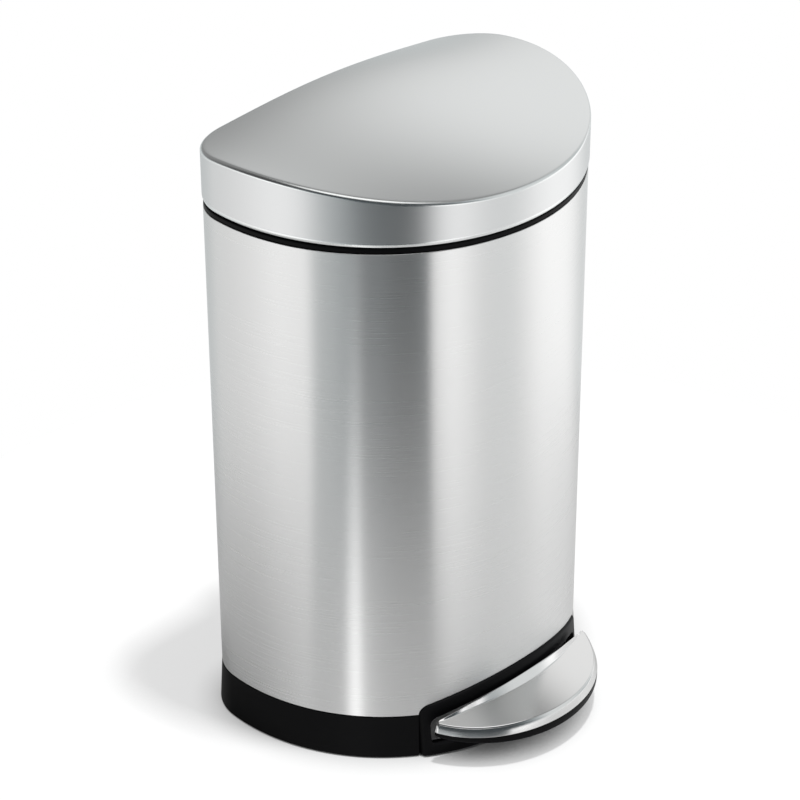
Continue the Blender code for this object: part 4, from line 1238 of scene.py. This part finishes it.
    def frame_loop(self, arch: PedalBay, low: float, low_corner: float) -> Array:
        """Draws a closed loop: an arched top, two upright sides and a flat bottom.

        Args:
            arch: the arch at the top.
            low: height of the bottom.
            low_corner: radius of the two lower corners.

        Returns:
            The loop's (x, z) points.
        """
        half = arch.half_width
        x_top = half * np.sin(np.linspace(-math.pi / 2.0, math.pi / 2.0, self.arch_points))
        top = np.stack([x_top, arch.height(x_top)], -1)
        side = np.linspace(top[-1, 1], low + low_corner, self.side_points + 2)[1:-1]
        right = np.stack([np.full(len(side), half), side], -1)
        turn = np.linspace(0.0, math.pi / 2.0, self.corner_points)
        corner_x = half - low_corner + low_corner * np.cos(turn)
        corner = np.stack([corner_x, low + low_corner - low_corner * np.sin(turn)], -1)
        x_low = np.linspace(half - low_corner, -half + low_corner, self.sill_points + 2)[1:-1]
        bottom = np.stack([x_low, np.full(len(x_low), low)], -1)
        left = np.concatenate([corner[::-1], right[::-1]]) * MIRROR_X
        return np.concatenate([top, right, corner, bottom, left])


def turned(profile: Array, middle: tuple[float, float, float], steps: int) -> tuple[Array, Faces]:
    """A solid of revolution about a vertical axis; the profile starts and ends on the axis.

    Args:
        profile: (radius, height) points; the first and last radii are zero.
        middle: the axis's place.
        steps: points round the axis.

    Returns:
        The points and the faces.
    """
    turn = np.linspace(0.0, TAU, steps, endpoint=False)
    rings = profile[1:-1]
    loops = np.stack(
        [
            rings[:, :1] * np.cos(turn),
            rings[:, :1] * np.sin(turn),
            np.repeat(rings[:, 1:], steps, 1),
        ],
        -1,
    )
    centre = np.asarray(middle)
    first = centre + np.array([0.0, 0.0, profile[0, 1]])
    last = centre + np.array([0.0, 0.0, profile[-1, 1]])
    return poled_loft(loops + centre, first, last)


@dataclass
class Pedal:
    """The crescent pedal: a thin steel tread over a black moulded tray.

    The crescent lies between a front circle and a rear circle, and its two ends are rounded.
    At each station from tip to tip, a section runs from the rear edge down the riser to the
    crease, over the crowned tread to its front edge, round a small roll and down the skirt.
    The skirt leans out most in its upper fifth. Its shares are pairs: how far down it, and
    how far out.
    """

    half_width: float = 0.0731
    front_radius: float = 0.0809
    front_y: float = -0.12635
    rear_radius: float = 0.176
    rear_y: float = -0.09455
    tip_radius: float = 0.0010
    tip_split: float = 0.25
    tip_points: int = 11
    stations: int = 181
    crease_radius: float = 0.1287
    crease_y: float = -0.09825
    crease_rounds: int = 6
    first_crease_share: float = 0.8
    crease_gap: float = 0.0009
    widest_gap_share: float = 0.3
    least_crease_share: float = 0.3
    edge_z: float = 0.0334
    slope: float = 0.187
    crown: float = 0.260
    riser: float = 0.0053
    riser_parts: tuple[float, ...] = (
        1.0, 0.97, 0.94, 0.9, 0.86, 0.8, 0.5, 0.26, 0.2, 0.16, 0.12, 0.08, 0.04, 0.0
    )
    tread_parts: tuple[float, ...] = (0.985, 0.95, 0.85, 0.7, 0.55, 0.4, 0.25, 0.12, 0.05, 0.015, 0.0)
    skirt: float = 0.0070
    skirt_tip: float = 0.0063
    skirt_flare: float = 0.0034
    skirt_lean: float = math.radians(22.0)
    skirt_shares: tuple[tuple[float, float], ...] = (
        (0.04, 0.10), (0.12, 0.28), (0.2, 0.38), (0.5, 0.62), (0.94, 0.96), (1.0, 1.0)
    )
    roll_radius: float = 0.0011
    sheet: float = 0.0008
    tray: float = 0.0068
    tray_tip: float = 0.0036
    tray_gap: float = 0.0003
    tray_roll: float = 0.0014
    tray_lip_share: float = 0.5
    deck_z: float = 0.0230
    deck_inset: float = 0.0008

    def tread_height(self, x: Array, y: Array) -> Array:
        """The tread rises towards the bin and falls towards its tips."""
        return self.edge_z - x * x / (2.0 * self.crown) + self.slope * (y - self.front_y)

    def tip_middle(self) -> tuple[float, float]:
        """Finds the middle of the right tip's circle, which touches both arcs from inside.

        Returns:
            The middle's x and y.
        """
        front_middle = self.front_y + self.front_radius
        rear_middle = self.rear_y + self.rear_radius
        near = self.front_radius - self.tip_radius
        far = self.rear_radius + self.tip_radius
        squares = far**2 - near**2 - rear_middle**2 + front_middle**2
        y = squares / (2.0 * (front_middle - rear_middle))
        return math.sqrt(near**2 - (y - front_middle) ** 2), y

    def edges(self) -> tuple[Array, Array, Array]:
        """Draws the crescent's two edges from tip to tip, close together near the tips.

        Each edge is an arc between two pieces of the tips' circles. The two edges part on a
        tip's circle, at the angle tip_split.

        Returns:
            The front edge, its outward directions and the rear edge, as (n, 2) plan arrays.
        """
        tip_x, tip_y = self.tip_middle()
        tip = np.array([tip_x, tip_y])
        front_middle = self.front_y + self.front_radius
        rear_middle = self.rear_y + self.rear_radius
        join = math.atan2(tip_x, front_middle - tip_y)
        rear_join = math.atan2(tip_x, rear_middle - tip_y)
        spread = np.linspace(-1.0, 1.0, self.stations - 2 * self.tip_points)
        spread = np.sin(spread * math.pi / 2.0)
        turn = np.linspace(join - math.pi / 2.0, self.tip_split, self.tip_points + 1)[1:]
        tip_way = np.stack([np.cos(turn), np.sin(turn)], -1)
        arc_way = front_ways(join * spread)
        arc = arc_way * self.front_radius + np.array([0.0, front_middle])
        turn = np.linspace(self.tip_split, math.pi / 2.0 + rear_join, self.tip_points + 1)[-2::-1]
        rear_tip = tip + np.stack([np.cos(turn), np.sin(turn)], -1) * self.tip_radius
        rear_arc = front_ways(rear_join * spread) * self.rear_radius + np.array([0.0, rear_middle])
        front = both_sides(arc, tip + tip_way * self.tip_radius)
        return front, both_sides(arc_way, tip_way), both_sides(rear_arc, rear_tip)

    def tip_share(self, place: Array) -> Array:
        """0 on the pedal's middle line, rising with the square of x to 1 at its tips."""
        return np.clip(np.abs(place[:, 0]) / self.half_width, 0.0, 1.0) ** 2

    def crease_share(self, front: Array, rear: Array) -> Array:
        """Finds where the crease lies between the two edges.

        The crease is an arc in plan. The share is stepped towards it a few times, and is held
        a little in front of the rear edge.

        Args:
            front: points of the front edge.
            rear: points of the rear edge.

        Returns:
            The share of the way from the front edge to the rear edge at each station.
        """
        span = rear - front
        depth = np.maximum(span[:, 1], 1e-6)
        middle = self.crease_y + self.crease_radius
        share = np.full(len(front), self.first_crease_share)
        for _ in range(self.crease_rounds):
            x = front[:, 0] + span[:, 0] * share
            line = middle - np.sqrt(self.crease_radius**2 - x * x)
            share = np.clip((line - front[:, 1]) / depth, self.least_crease_share, 1.0)
        return np.minimum(share, 1.0 - np.minimum(self.crease_gap / depth, self.widest_gap_share))

    @staticmethod
    def riser_rise(part: Array, fillet: float = 0.2, crest: float = 0.14) -> Array:
        """Height of the riser over its depth, both from 0 to 1.

        A parabola leads up from the crease over the fillet's share, a straight slope follows,
        and another parabola levels out over the crest's share.

        Args:
            part: places over the riser's depth.
            fillet: the share of the depth that the lower parabola takes.
            crest: the share of the depth that the upper parabola takes.

        Returns:
            The height at each place.
        """
        slope = 1.0 / (1.0 - (fillet + crest) / 2.0)
        straight = slope * (part - fillet / 2.0)
        low = slope * part**2 / (2.0 * fillet)
        high = 1.0 - slope * (1.0 - part) ** 2 / (2.0 * crest)
        return np.where(part < fillet, low, np.where(part > 1.0 - crest, high, straight))

    def tread_row(self, front: Array, rear: Array, part: Array, lift: Array | float = 0.0) -> Array:
        """Points of the tread at a part of the way from the front to the rear edge, lifted."""
        place = front + (rear - front) * np.asarray(part).reshape(-1, 1)
        return np.c_[place, self.tread_height(place[:, 0], place[:, 1]) + lift]

    def skirt_rows(self, edge: Array, way: Array) -> list[Array]:
        """Rolls the sheet over at the front edge and carries it down the skirt.

        Args:
            edge: (n, 3) points of the tread's front edge.
            way: outward directions in plan.

        Returns:
            The rows of the roll and then those of the skirt.
        """
        first, last = math.atan(self.slope), math.pi / 2.0 - self.skirt_lean
        rows = []
        for angle in np.linspace(first, last, 9)[1:]:
            out = self.roll_radius * (math.sin(angle) - math.sin(first))
            down = self.roll_radius * (math.cos(first) - math.cos(angle))
            rows.append(edge + np.c_[way * out, np.full(len(way), -down)])
        low = self.skirt + (self.skirt_tip - self.skirt) * self.tip_share(edge)
        for part, share in self.skirt_shares:
            reach = out + (self.skirt_flare - out) * share
            rows.append(edge + np.c_[way * reach, -(down + (low - down) * part)])
        return rows

    def tread_points(self) -> Array:
        """Works out the tread's outer face, from the rear edge to the foot of the skirt.

        Returns:
            Its (rows, stations, 3) points.
        """
        front, way, rear = self.edges()
        crease = self.crease_share(front, rear)
        rise = self.riser * (1.0 - self.tip_share(rear))
        parts = np.array(self.riser_parts)
        rows = []
        for part, lift in zip(parts, self.riser_rise(parts)):
            rows.append(self.tread_row(front, rear, crease + (1.0 - crease) * part, rise * lift))
        rows += [self.tread_row(front, rear, crease * part) for part in self.tread_parts]
        return np.stack(rows + self.skirt_rows(rows[-1], way))

    def build_tread(self, finish: bpy.types.Material) -> bpy.types.Object:
        """Makes the steel tread from its outer face and a copy moved in by the sheet.

        Args:
            finish: the steel.

        Returns:
            The tread.
        """
        outer = self.tread_points()
        inner = outer - grid_normals(outer) * self.sheet
        loops = np.concatenate([outer, inner[::-1]])
        points, faces = closed_loft(loops.transpose(1, 0, 2))
        piece = make_piece("pedal_sheet", points, faces, finish, sharp_degrees=60.0)
        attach(piece, Body.PEDAL.value)
        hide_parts("pedal_tread")
        return piece

    def build_tray(self, finish: bpy.types.Material) -> bpy.types.Object:
        """Makes the black tray whose rounded lip shows under the steel skirt.

        The section goes up the rear, along the deck, out over a lip that is rounded half as
        deep as it is wide, and down round the foot of the lip.

        Args:
            finish: the black plastic.

        Returns:
            The tray.
        """
        front, way, rear = self.edges()
        tip = self.tip_share(front)
        edge = self.tread_height(front[:, 0], front[:, 1])
        top = edge - (self.skirt + (self.skirt_tip - self.skirt) * tip) - self.tray_gap
        bottom = top - (self.tray + (self.tray_tip - self.tray) * tip)
        deck = np.minimum(self.deck_z, top - self.tray_gap)
        rows = [np.c_[rear, bottom], np.c_[rear, deck]]
        rows += [np.c_[front - way * self.deck_inset, deck], np.c_[front, top]]
        roll, flat = self.tray_roll, self.tray_roll * self.tray_lip_share
        for angle in np.linspace(0.0, math.pi / 2.0, 6):
            out = self.skirt_flare - flat * (1.0 - math.sin(angle))
            rows.append(np.c_[front + way * out, top - flat * (1.0 - math.cos(angle))])
        for angle in np.linspace(0.0, math.pi / 2.0, 7):
            out = self.skirt_flare - roll * (1.0 - math.cos(angle))
            rows.append(np.c_[front + way * out, bottom + roll * (1.0 - math.sin(angle))])
        points, faces = closed_loft(np.stack(rows).transpose(1, 0, 2))
        piece = make_piece("pedal_tray_moulding", points, faces, finish, sharp_degrees=40.0)
        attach(piece, Body.PEDAL.value)
        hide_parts("pedal_tray")
        return piece


def grid_normals(points: Array) -> Array:
    """Works out the unit normals of an open grid, from the differences along its two ways.

    Args:
        points: (rows, columns, 3) points.

    Returns:
        The normals, turned so that they point up over the middle of the first rows.
    """
    along = np.gradient(points, axis=1)
    across = np.gradient(points, axis=0)
    normal = np.cross(across, along)
    length = np.linalg.norm(normal, axis=-1, keepdims=True)
    normal = normal / np.where(length < 1e-12, 1.0, length)
    middle = normal[: points.shape[0] // 2, points.shape[1] // 2, 2].mean()
    return normal if middle > 0.0 else -normal


@dataclass
class Bucket:
    """The lift-out plastic bucket with a flat rim that hangs on the collar's ledge."""

    bottom: float = 0.0471
    rim_low: float = 0.3800
    rim_high: float = 0.3820
    rim_front: float = 0.0054
    rim_back: float = 0.0036
    rim_under_round: float = 0.0003
    rim_over_round: float = 0.0005
    mouth_round: float = 0.0006
    neck: float = 0.004
    neck_taper: float = 0.0002
    wall: float = 0.002
    taper: float = 0.005
    foot_round: float = 0.006

    def foot(self, inset: float, height: float) -> list[tuple[SemiRoundPlan, float, float]]:
        """Draws the quarter circle from the bottom to the wall.

        Args:
            inset: how far it lies inside the outer face.
            height: the height of the flat bottom that it leaves.

        Returns:
            Its (plan, offset, height) rows, going up.
        """
        turn, radius = np.linspace(0.0, math.pi / 2.0, 7), self.foot_round
        rows = [(inset + radius * (1.0 - math.sin(a)), radius * (1.0 - math.cos(a))) for a in turn]
        return [(BUCKET_PLAN, -self.taper - inward, height + rise) for inward, rise in rows]

    def build(self, finish: bpy.types.Material) -> bpy.types.Object:
        """Carries the bucket's section from its underside over the rim and down inside.

        Args:
            finish: the bucket's plastic.

        Returns:
            The bucket.
        """
        plan = BUCKET_PLAN
        wide = SemiRoundPlan(
            plan.arc_radius + self.rim_front,
            plan.arc_y,
            plan.back_y + self.rim_back,
            plan.corner + self.rim_back,
        )
        low, high, neck = self.rim_low, self.rim_high, self.rim_low - self.neck
        inside = self.bottom + self.wall
        rows = self.foot(0.0, self.bottom)
        rows += [(plan, -self.neck_taper, neck), (plan, 0.0, low)]
        rows += [(wide, -self.rim_under_round, low), (wide, 0.0, low + self.rim_under_round)]
        rows += [(wide, 0.0, high - self.rim_over_round), (wide, -self.rim_over_round, high)]
        rows += [(plan, self.mouth_round - self.wall, high), (plan, -self.wall, high - self.mouth_round)]
        rows += [(plan, -self.wall - self.neck_taper, neck)]
        rows += self.foot(self.wall, inside)[::-1]
        loops = np.stack([np.c_[p.outline(offset), np.full(p.count, z)] for p, offset, z in rows])
        first = np.array([0.0, 0.0, self.bottom])
        points, faces = poled_loft(loops, first, np.array([0.0, 0.0, inside]))
        piece = make_piece("bucket_tub", points, faces, finish, sharp_degrees=40.0)
        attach(piece, Body.INNER.value)
        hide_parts("bucket")
        return piece


# Stage


@dataclass(frozen=True)
class SoftDisc:
    """A round light of the room: its bearing and height, its rim and core angles and its level."""

    bearing: float
    height: float
    rim: float
    core: float
    level: float


class RoomWires(Wires):
    """An emptied node tree with nodes that give the room's greys by direction."""

    def __init__(self, tree: bpy.types.NodeTree) -> None:
        """Takes a tree and empties it."""
        super().__init__(tree)
        tree.nodes.clear()

    def by_bearing(self, way: Socket, stops: Stops) -> Socket:
        """Greys that depend on a direction's bearing alone.

        Args:
            way: the direction.
            stops: (bearing, grey) pairs from -180 to 180 degrees.

        Returns:
            The colour at the direction's bearing.
        """
        split = self.node("ShaderNodeSeparateXYZ")
        self.join(way, split.inputs[0])
        forward = self.math("MULTIPLY", split.outputs["Y"], -1.0)
        bearing = self.math("ARCTAN2", split.outputs["X"], forward)
        ramp = self.node("ShaderNodeValToRGB")
        set_stops(ramp, stops)
        self.join(self.ramp_value(bearing, -math.pi, math.pi, kind="LINEAR"), ramp.inputs[0])
        return ramp.outputs[0]

    def soft_disc(self, way: Socket, light: SoftDisc) -> Socket:
        """Level of a round light: full inside its core and none past its rim.

        Args:
            way: the direction in which the room is seen.
            light: the round light.

        Returns:
            The light's level in that direction.
        """
        az, el = math.radians(light.bearing), math.radians(light.height)
        rim, core = math.cos(math.radians(light.rim)), math.cos(math.radians(light.core))
        middle = (math.sin(az) * math.cos(el), -math.cos(az) * math.cos(el), math.sin(el))
        aim = self.node("ShaderNodeVectorMath", operation="DOT_PRODUCT")
        aim.inputs[1].default_value = middle
        self.join(way, aim.inputs[0])
        return self.ramp_value(aim.outputs["Value"], rim, core, 0.0, light.level)


@dataclass
class Studio:
    """The camera of the photograph, a pale floor, the room that the steel mirrors, and a lamp."""

    azimuth: float = math.radians(-45.7087)
    elevation: float = math.radians(30.2073)
    roll: float = math.radians(-0.182)
    distance: float = 1.818148
    target: tuple[float, float, float] = (-0.034991, -0.0076065, 0.246966)
    lens: float = 125.357
    sensor: float = 36.0
    shift: tuple[float, float] = (0.0, -0.01815)
    clip_end: float = 20.0
    floor_radius: float = 0.45
    floor_steps: int = 96
    floor_colour: tuple[float, float, float] = (0.30, 0.30, 0.30)
    floor_glow: float = 0.62
    # Reaches and depth of the painted contact shadow that ambient occlusion cuts into the floor's glow.
    painted_shadow_reach: float = 0.022
    painted_shadow_depth: float = 0.7
    painted_under_shadow_reach: float = 0.10
    painted_under_shadow_range: tuple[float, float] = (0.10, 0.50)
    horizon: tuple[float, float] = (-0.03, 0.06)
    screen_ends: tuple[float, float] = (-0.05, 0.15)
    screen_height: float = 0.65
    screen_fade: float = 0.2
    side_light: SoftDisc = SoftDisc(114.0, 24.0, 35.0, 9.0, 0.62)
    top_light: SoftDisc = SoftDisc(-46.0, 74.0, 30.0, 14.0, 1.25)
    lamp_place: tuple[float, float, float] = (0.056, -0.365, 3.0)
    lamp_size: float = 0.18
    lamp_power: float = 86.0

    def build_camera(self) -> None:
        """Places the camera: back along its azimuth and elevation from the target, then rolled."""
        az, el = self.azimuth, self.elevation
        back = Vector((math.sin(az) * math.cos(el), -math.cos(az) * math.cos(el), math.sin(el)))
        right = Vector((math.cos(az), math.sin(az), 0.0))
        up = back.cross(right)
        rolled = right * math.cos(self.roll) + up * math.sin(self.roll)
        upright = up * math.cos(self.roll) - right * math.sin(self.roll)
        place = Vector(self.target) + Vector((0.0, PLAN_SHIFT, 0.0)) + back * self.distance
        turn = Matrix((rolled, upright, back)).transposed()
        data = bpy.data.cameras.new("photo_camera")
        data.sensor_width = self.sensor
        data.lens = self.lens
        data.shift_x, data.shift_y = self.shift
        data.clip_end = self.clip_end
        camera = bpy.data.objects.new("photo_camera", data)
        camera.matrix_world = Matrix.Translation(place) @ turn.to_4x4()
        bpy.context.scene.collection.objects.link(camera)
        bpy.context.scene.camera = camera

    def floor_material(self) -> bpy.types.Material:
        """Makes a pale floor that keeps the lamp's shadow and glows like the white round it.

        For camera rays it glows a little less close to the bin, and not at all where the bin
        covers it: a painted contact shadow, cut from the glow by ambient occlusion. Mirrors see it
        by the bearing of the mirrored ray, as they see the walls.

        Returns:
            The floor's material.
        """
        material = bpy.data.materials.new("white_floor")
        material.use_nodes = True
        wires = RoomWires(material.node_tree)
        diffuse = wires.node("ShaderNodeBsdfDiffuse")
        diffuse.inputs["Color"].default_value = (*self.floor_colour, 1.0)
        # Painted contact shadow: ambient occlusion dims the camera-seen glow near the bin and takes it
        # away under it.
        contact, cover = (wires.node("ShaderNodeAmbientOcclusion", samples=8) for _ in range(2))
        contact.inputs["Distance"].default_value = self.painted_shadow_reach
        cover.inputs["Distance"].default_value = self.painted_under_shadow_reach
        glow_left_by_painted_shadow = wires.math("POWER", contact.outputs["AO"], self.painted_shadow_depth)
        uncovered = wires.ramp_value(cover.outputs["AO"], *self.painted_under_shadow_range)
        glow_left_by_painted_shadow = wires.math("MULTIPLY", glow_left_by_painted_shadow, uncovered)
        path = wires.node("ShaderNodeLightPath").outputs
        seen = wires.math("MULTIPLY", path["Is Camera Ray"], self.floor_glow)
        seen = wires.math("MULTIPLY", seen, glow_left_by_painted_shadow)
        back = wires.node("ShaderNodeVectorMath", operation="SCALE")
        back.inputs["Scale"].default_value = -1.0
        wires.join(wires.node("ShaderNodeNewGeometry").outputs["Incoming"], back.inputs[0])
        patches = wires.by_bearing(back.outputs[0], FLOOR_STOPS)
        mirrored = wires.math("MAXIMUM", path["Is Glossy Ray"], path["Is Transmission Ray"])
        mirrored = wires.math("MULTIPLY", mirrored, patches)
        glow = wires.node("ShaderNodeEmission")
        wires.join(wires.math("ADD", seen, mirrored), glow.inputs["Strength"])
        add = wires.node("ShaderNodeAddShader")
        wires.join(diffuse.outputs[0], add.inputs[0])
        wires.join(glow.outputs[0], add.inputs[1])
        out = wires.node("ShaderNodeOutputMaterial")
        wires.join(add.outputs[0], out.inputs["Surface"])
        return material

    def build_floor(self) -> None:
        """Makes a small round floor, whose edge is lost in the white that the camera sees."""
        turn = np.linspace(0.0, TAU, self.floor_steps, endpoint=False)
        x, y = self.floor_radius * np.cos(turn), self.floor_radius * np.sin(turn)
        points = np.stack([x, y, np.zeros(self.floor_steps)], -1)
        mesh = bpy.data.meshes.new("floor")
        mesh.from_pydata(points.tolist(), [], [list(range(self.floor_steps))])
        mesh.materials.append(self.floor_material())
        floor = bpy.data.objects.new("floor", mesh)
        bpy.context.scene.collection.objects.link(floor)

    def build_world(self) -> None:
        """Makes the room that the steel mirrors, and plain white where the camera looks past it.

        Below the horizon the walls are grey by bearing: bright at the sides and dark behind
        the camera. Above it, in front, stand screens that are black on the left and pale on
        the right. Over them and at the back lies a ceiling that is darkest on the left, with
        one soft round light at the right rear and one high over the camera's side.
        """
        world = bpy.data.worlds.new("studio")
        world.use_nodes = True
        bpy.context.scene.world = world
        bpy.context.scene.view_settings.view_transform = "Standard"
        wires = RoomWires(world.node_tree)
        way = wires.node("ShaderNodeTexCoord").outputs["Generated"]
        split = wires.node("ShaderNodeSeparateXYZ")
        wires.join(way, split.inputs[0])
        height = split.outputs["Z"]
        over_horizon = wires.ramp_value(height, *self.horizon)
        walls = wires.by_bearing(way, WALL_STOPS)
        sides = wires.mix(over_horizon, walls, wires.by_bearing(way, SCREEN_STOPS))
        ceiling = wires.by_bearing(way, CEILING_STOPS)
        for light in (self.side_light, self.top_light):
            ceiling = wires.math("ADD", ceiling, wires.soft_disc(way, light))
        forward = wires.math("MULTIPLY", split.outputs["Y"], -1.0)
        screen_top = wires.ramp_value(forward, *self.screen_ends, 0.0, self.screen_height)
        over_screens = wires.math("SUBTRACT", height, screen_top)
        above = wires.ramp_value(over_screens, 0.0, self.screen_fade)
        studio = wires.node("ShaderNodeBackground")
        wires.join(wires.mix(above, sides, ceiling), studio.inputs["Color"])
        white = wires.node("ShaderNodeBackground")
        white.inputs["Color"].default_value = (1.0, 1.0, 1.0, 1.0)
        choose = wires.node("ShaderNodeMixShader")
        camera_ray = wires.node("ShaderNodeLightPath").outputs["Is Camera Ray"]
        for source, sink in zip((camera_ray, studio.outputs[0], white.outputs[0]), choose.inputs):
            wires.join(source, sink)
        out = wires.node("ShaderNodeOutputWorld")
        wires.join(choose.outputs[0], out.inputs["Surface"])

    def build_lamp(self) -> None:
        """Hangs a small soft lamp far overhead, a little in front; the metal doesn't mirror it."""
        data = bpy.data.lights.new("overhead_lamp", "AREA")
        data.shape = "SQUARE"
        data.size = self.lamp_size
        data.energy = self.lamp_power
        lamp = bpy.data.objects.new("overhead_lamp", data)
        place = Vector(self.lamp_place)
        turn = place.to_track_quat("Z", "Y").to_matrix().to_4x4()
        lamp.matrix_world = Matrix.Translation(place) @ turn
        lamp.visible_glossy = False
        bpy.context.scene.collection.objects.link(lamp)


# Greys of the room as (bearing, grey): degrees from the front, positive to the right


WALL_STOPS = (
    (-180.0, 0.74), (-158.0, 0.86), (-137.0, 0.98), (-121.0, 1.13), (-104.0, 1.33),
    (-86.0, 1.25), (-82.5, 0.72), (-72.0, 0.60), (-64.0, 0.44), (-56.0, 0.14),
    (-46.0, 0.15), (-38.0, 0.08), (-29.0, 0.07), (-20.0, 0.15), (-17.0, 1.20),
    (-6.0, 1.44), (4.0, 1.20), (12.0, 0.97), (20.0, 0.89), (29.0, 0.86),
    (37.0, 0.96), (46.0, 1.16), (55.0, 1.30), (79.0, 1.30), (88.0, 1.14),
    (95.0, 0.90), (103.0, 0.73), (112.0, 0.80), (150.0, 0.72), (180.0, 0.74),
)

FLOOR_STOPS = (
    (-180.0, 0.15), (-128.0, 0.08), (-118.0, 0.13), (-101.0, 0.27), (-93.0, 0.34),
    (-86.0, 0.25), (-75.0, 0.29), (-68.0, 0.35), (-65.5, 1.10), (-62.5, 1.50),
    (-60.0, 1.10), (-57.5, 0.45), (-49.0, 0.33), (-42.0, 0.26), (-28.0, 0.21),
    (-14.0, 0.20), (-6.0, 0.42), (10.0, 0.38), (22.0, 0.30), (46.0, 0.36),
    (62.0, 0.44), (90.0, 0.40), (112.0, 0.12), (180.0, 0.12),
)

CEILING_STOPS = (
    (-180.0, 0.27), (-150.0, 0.20), (-130.0, 0.08), (-20.0, 0.06), (10.0, 0.20),
    (60.0, 0.30), (112.0, 0.32), (150.0, 0.28), (180.0, 0.27),
)

SCREEN_STOPS = (
    (-180.0, 0.42), (-100.0, 0.42), (-88.0, 0.45), (-83.0, 0.13), (-72.0, 0.07),
    (-14.0, 0.07), (-4.0, 0.15), (8.0, 0.40), (22.0, 0.80), (50.0, 0.80),
    (64.0, 0.66), (80.0, 0.60), (92.0, 0.95), (120.0, 0.60), (180.0, 0.42),
)


def set_stops(ramp: bpy.types.Node, stops: Stops) -> None:
    """Sets a colour ramp's stops; the darker a stop is, the cooler its grey.

    Args:
        ramp: the ramp node.
        stops: (place, grey) pairs whose places run over the ramp's first to last stop.
    """
    first, last = stops[0][0], stops[-1][0]
    elements = ramp.color_ramp.elements
    while len(elements) < len(stops):
        elements.new(1.0)
    for element, (place, grey) in zip(elements, stops):
        cool = max(1.0 - grey, 0.0)
        red = grey * (1.0 - SHADE_RED_LOSS * cool)
        blue = grey * (1.0 + SHADE_BLUE_GAIN * cool * cool)
        element.position = (place - first) / (last - first)
        element.color = (red, grey, blue, 1.0)


def dress_nodes(nodes: dict[str, bpy.types.Object], finishes: Finishes) -> None:
    """Gives every CAD node its finish; those that a piece replaces are hidden later.

    Args:
        nodes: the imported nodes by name.
        finishes: the bin's finishes.
    """
    rubber = ("foot_", "lid_bumper")
    plastic = ("base_plate", "hinge_housing", "rod_channel", "rod_guide", "rod_foot", "rod_head", "piston")
    for name, node in nodes.items():
        if any(word in name for word in rubber):
            chosen = finishes.rubber
        elif any(word in name for word in plastic):
            chosen = finishes.black_plastic
        elif name in ("damper_cylinder", "damper_cap"):
            chosen = finishes.damper
        else:
            chosen = finishes.plated
        for slot in node.material_slots:
            slot.material = chosen


def main() -> None:
    """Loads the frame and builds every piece."""
    logging.basicConfig(level=logging.INFO, format="%(name)s: %(message)s")
    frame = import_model()
    finishes = Finishes()
    dress_nodes(frame["nodes"], finishes)
    studio = Studio()
    studio.build_camera()
    lid = LidSheet()
    rings = TopRings()
    base = Base()
    pedal = Pedal()
    pieces = [
        BodySheet().build(finishes.body_steel),
        lid.build(finishes.lid_steel, finishes.painted_shade_skirt_metal),
        rings.build_collar(finishes.black_plastic),
        rings.build_liner(lid, finishes.black_plastic),
        base.build_band(finishes.black_plastic),
        base.build_surround(finishes.black_plastic),
        pedal.build_tread(finishes.pedal_steel),
        pedal.build_tray(finishes.black_plastic),
        Bucket().build(finishes.bucket_plastic),
    ]
    pieces += base.build_lugs(finishes.black_plastic)
    for piece in pieces:
        LOG.info("%s: %d faces", piece.name, len(piece.data.polygons))
    studio.build_floor()
    studio.build_world()
    studio.build_lamp()


if __name__ == "__main__":
    main()
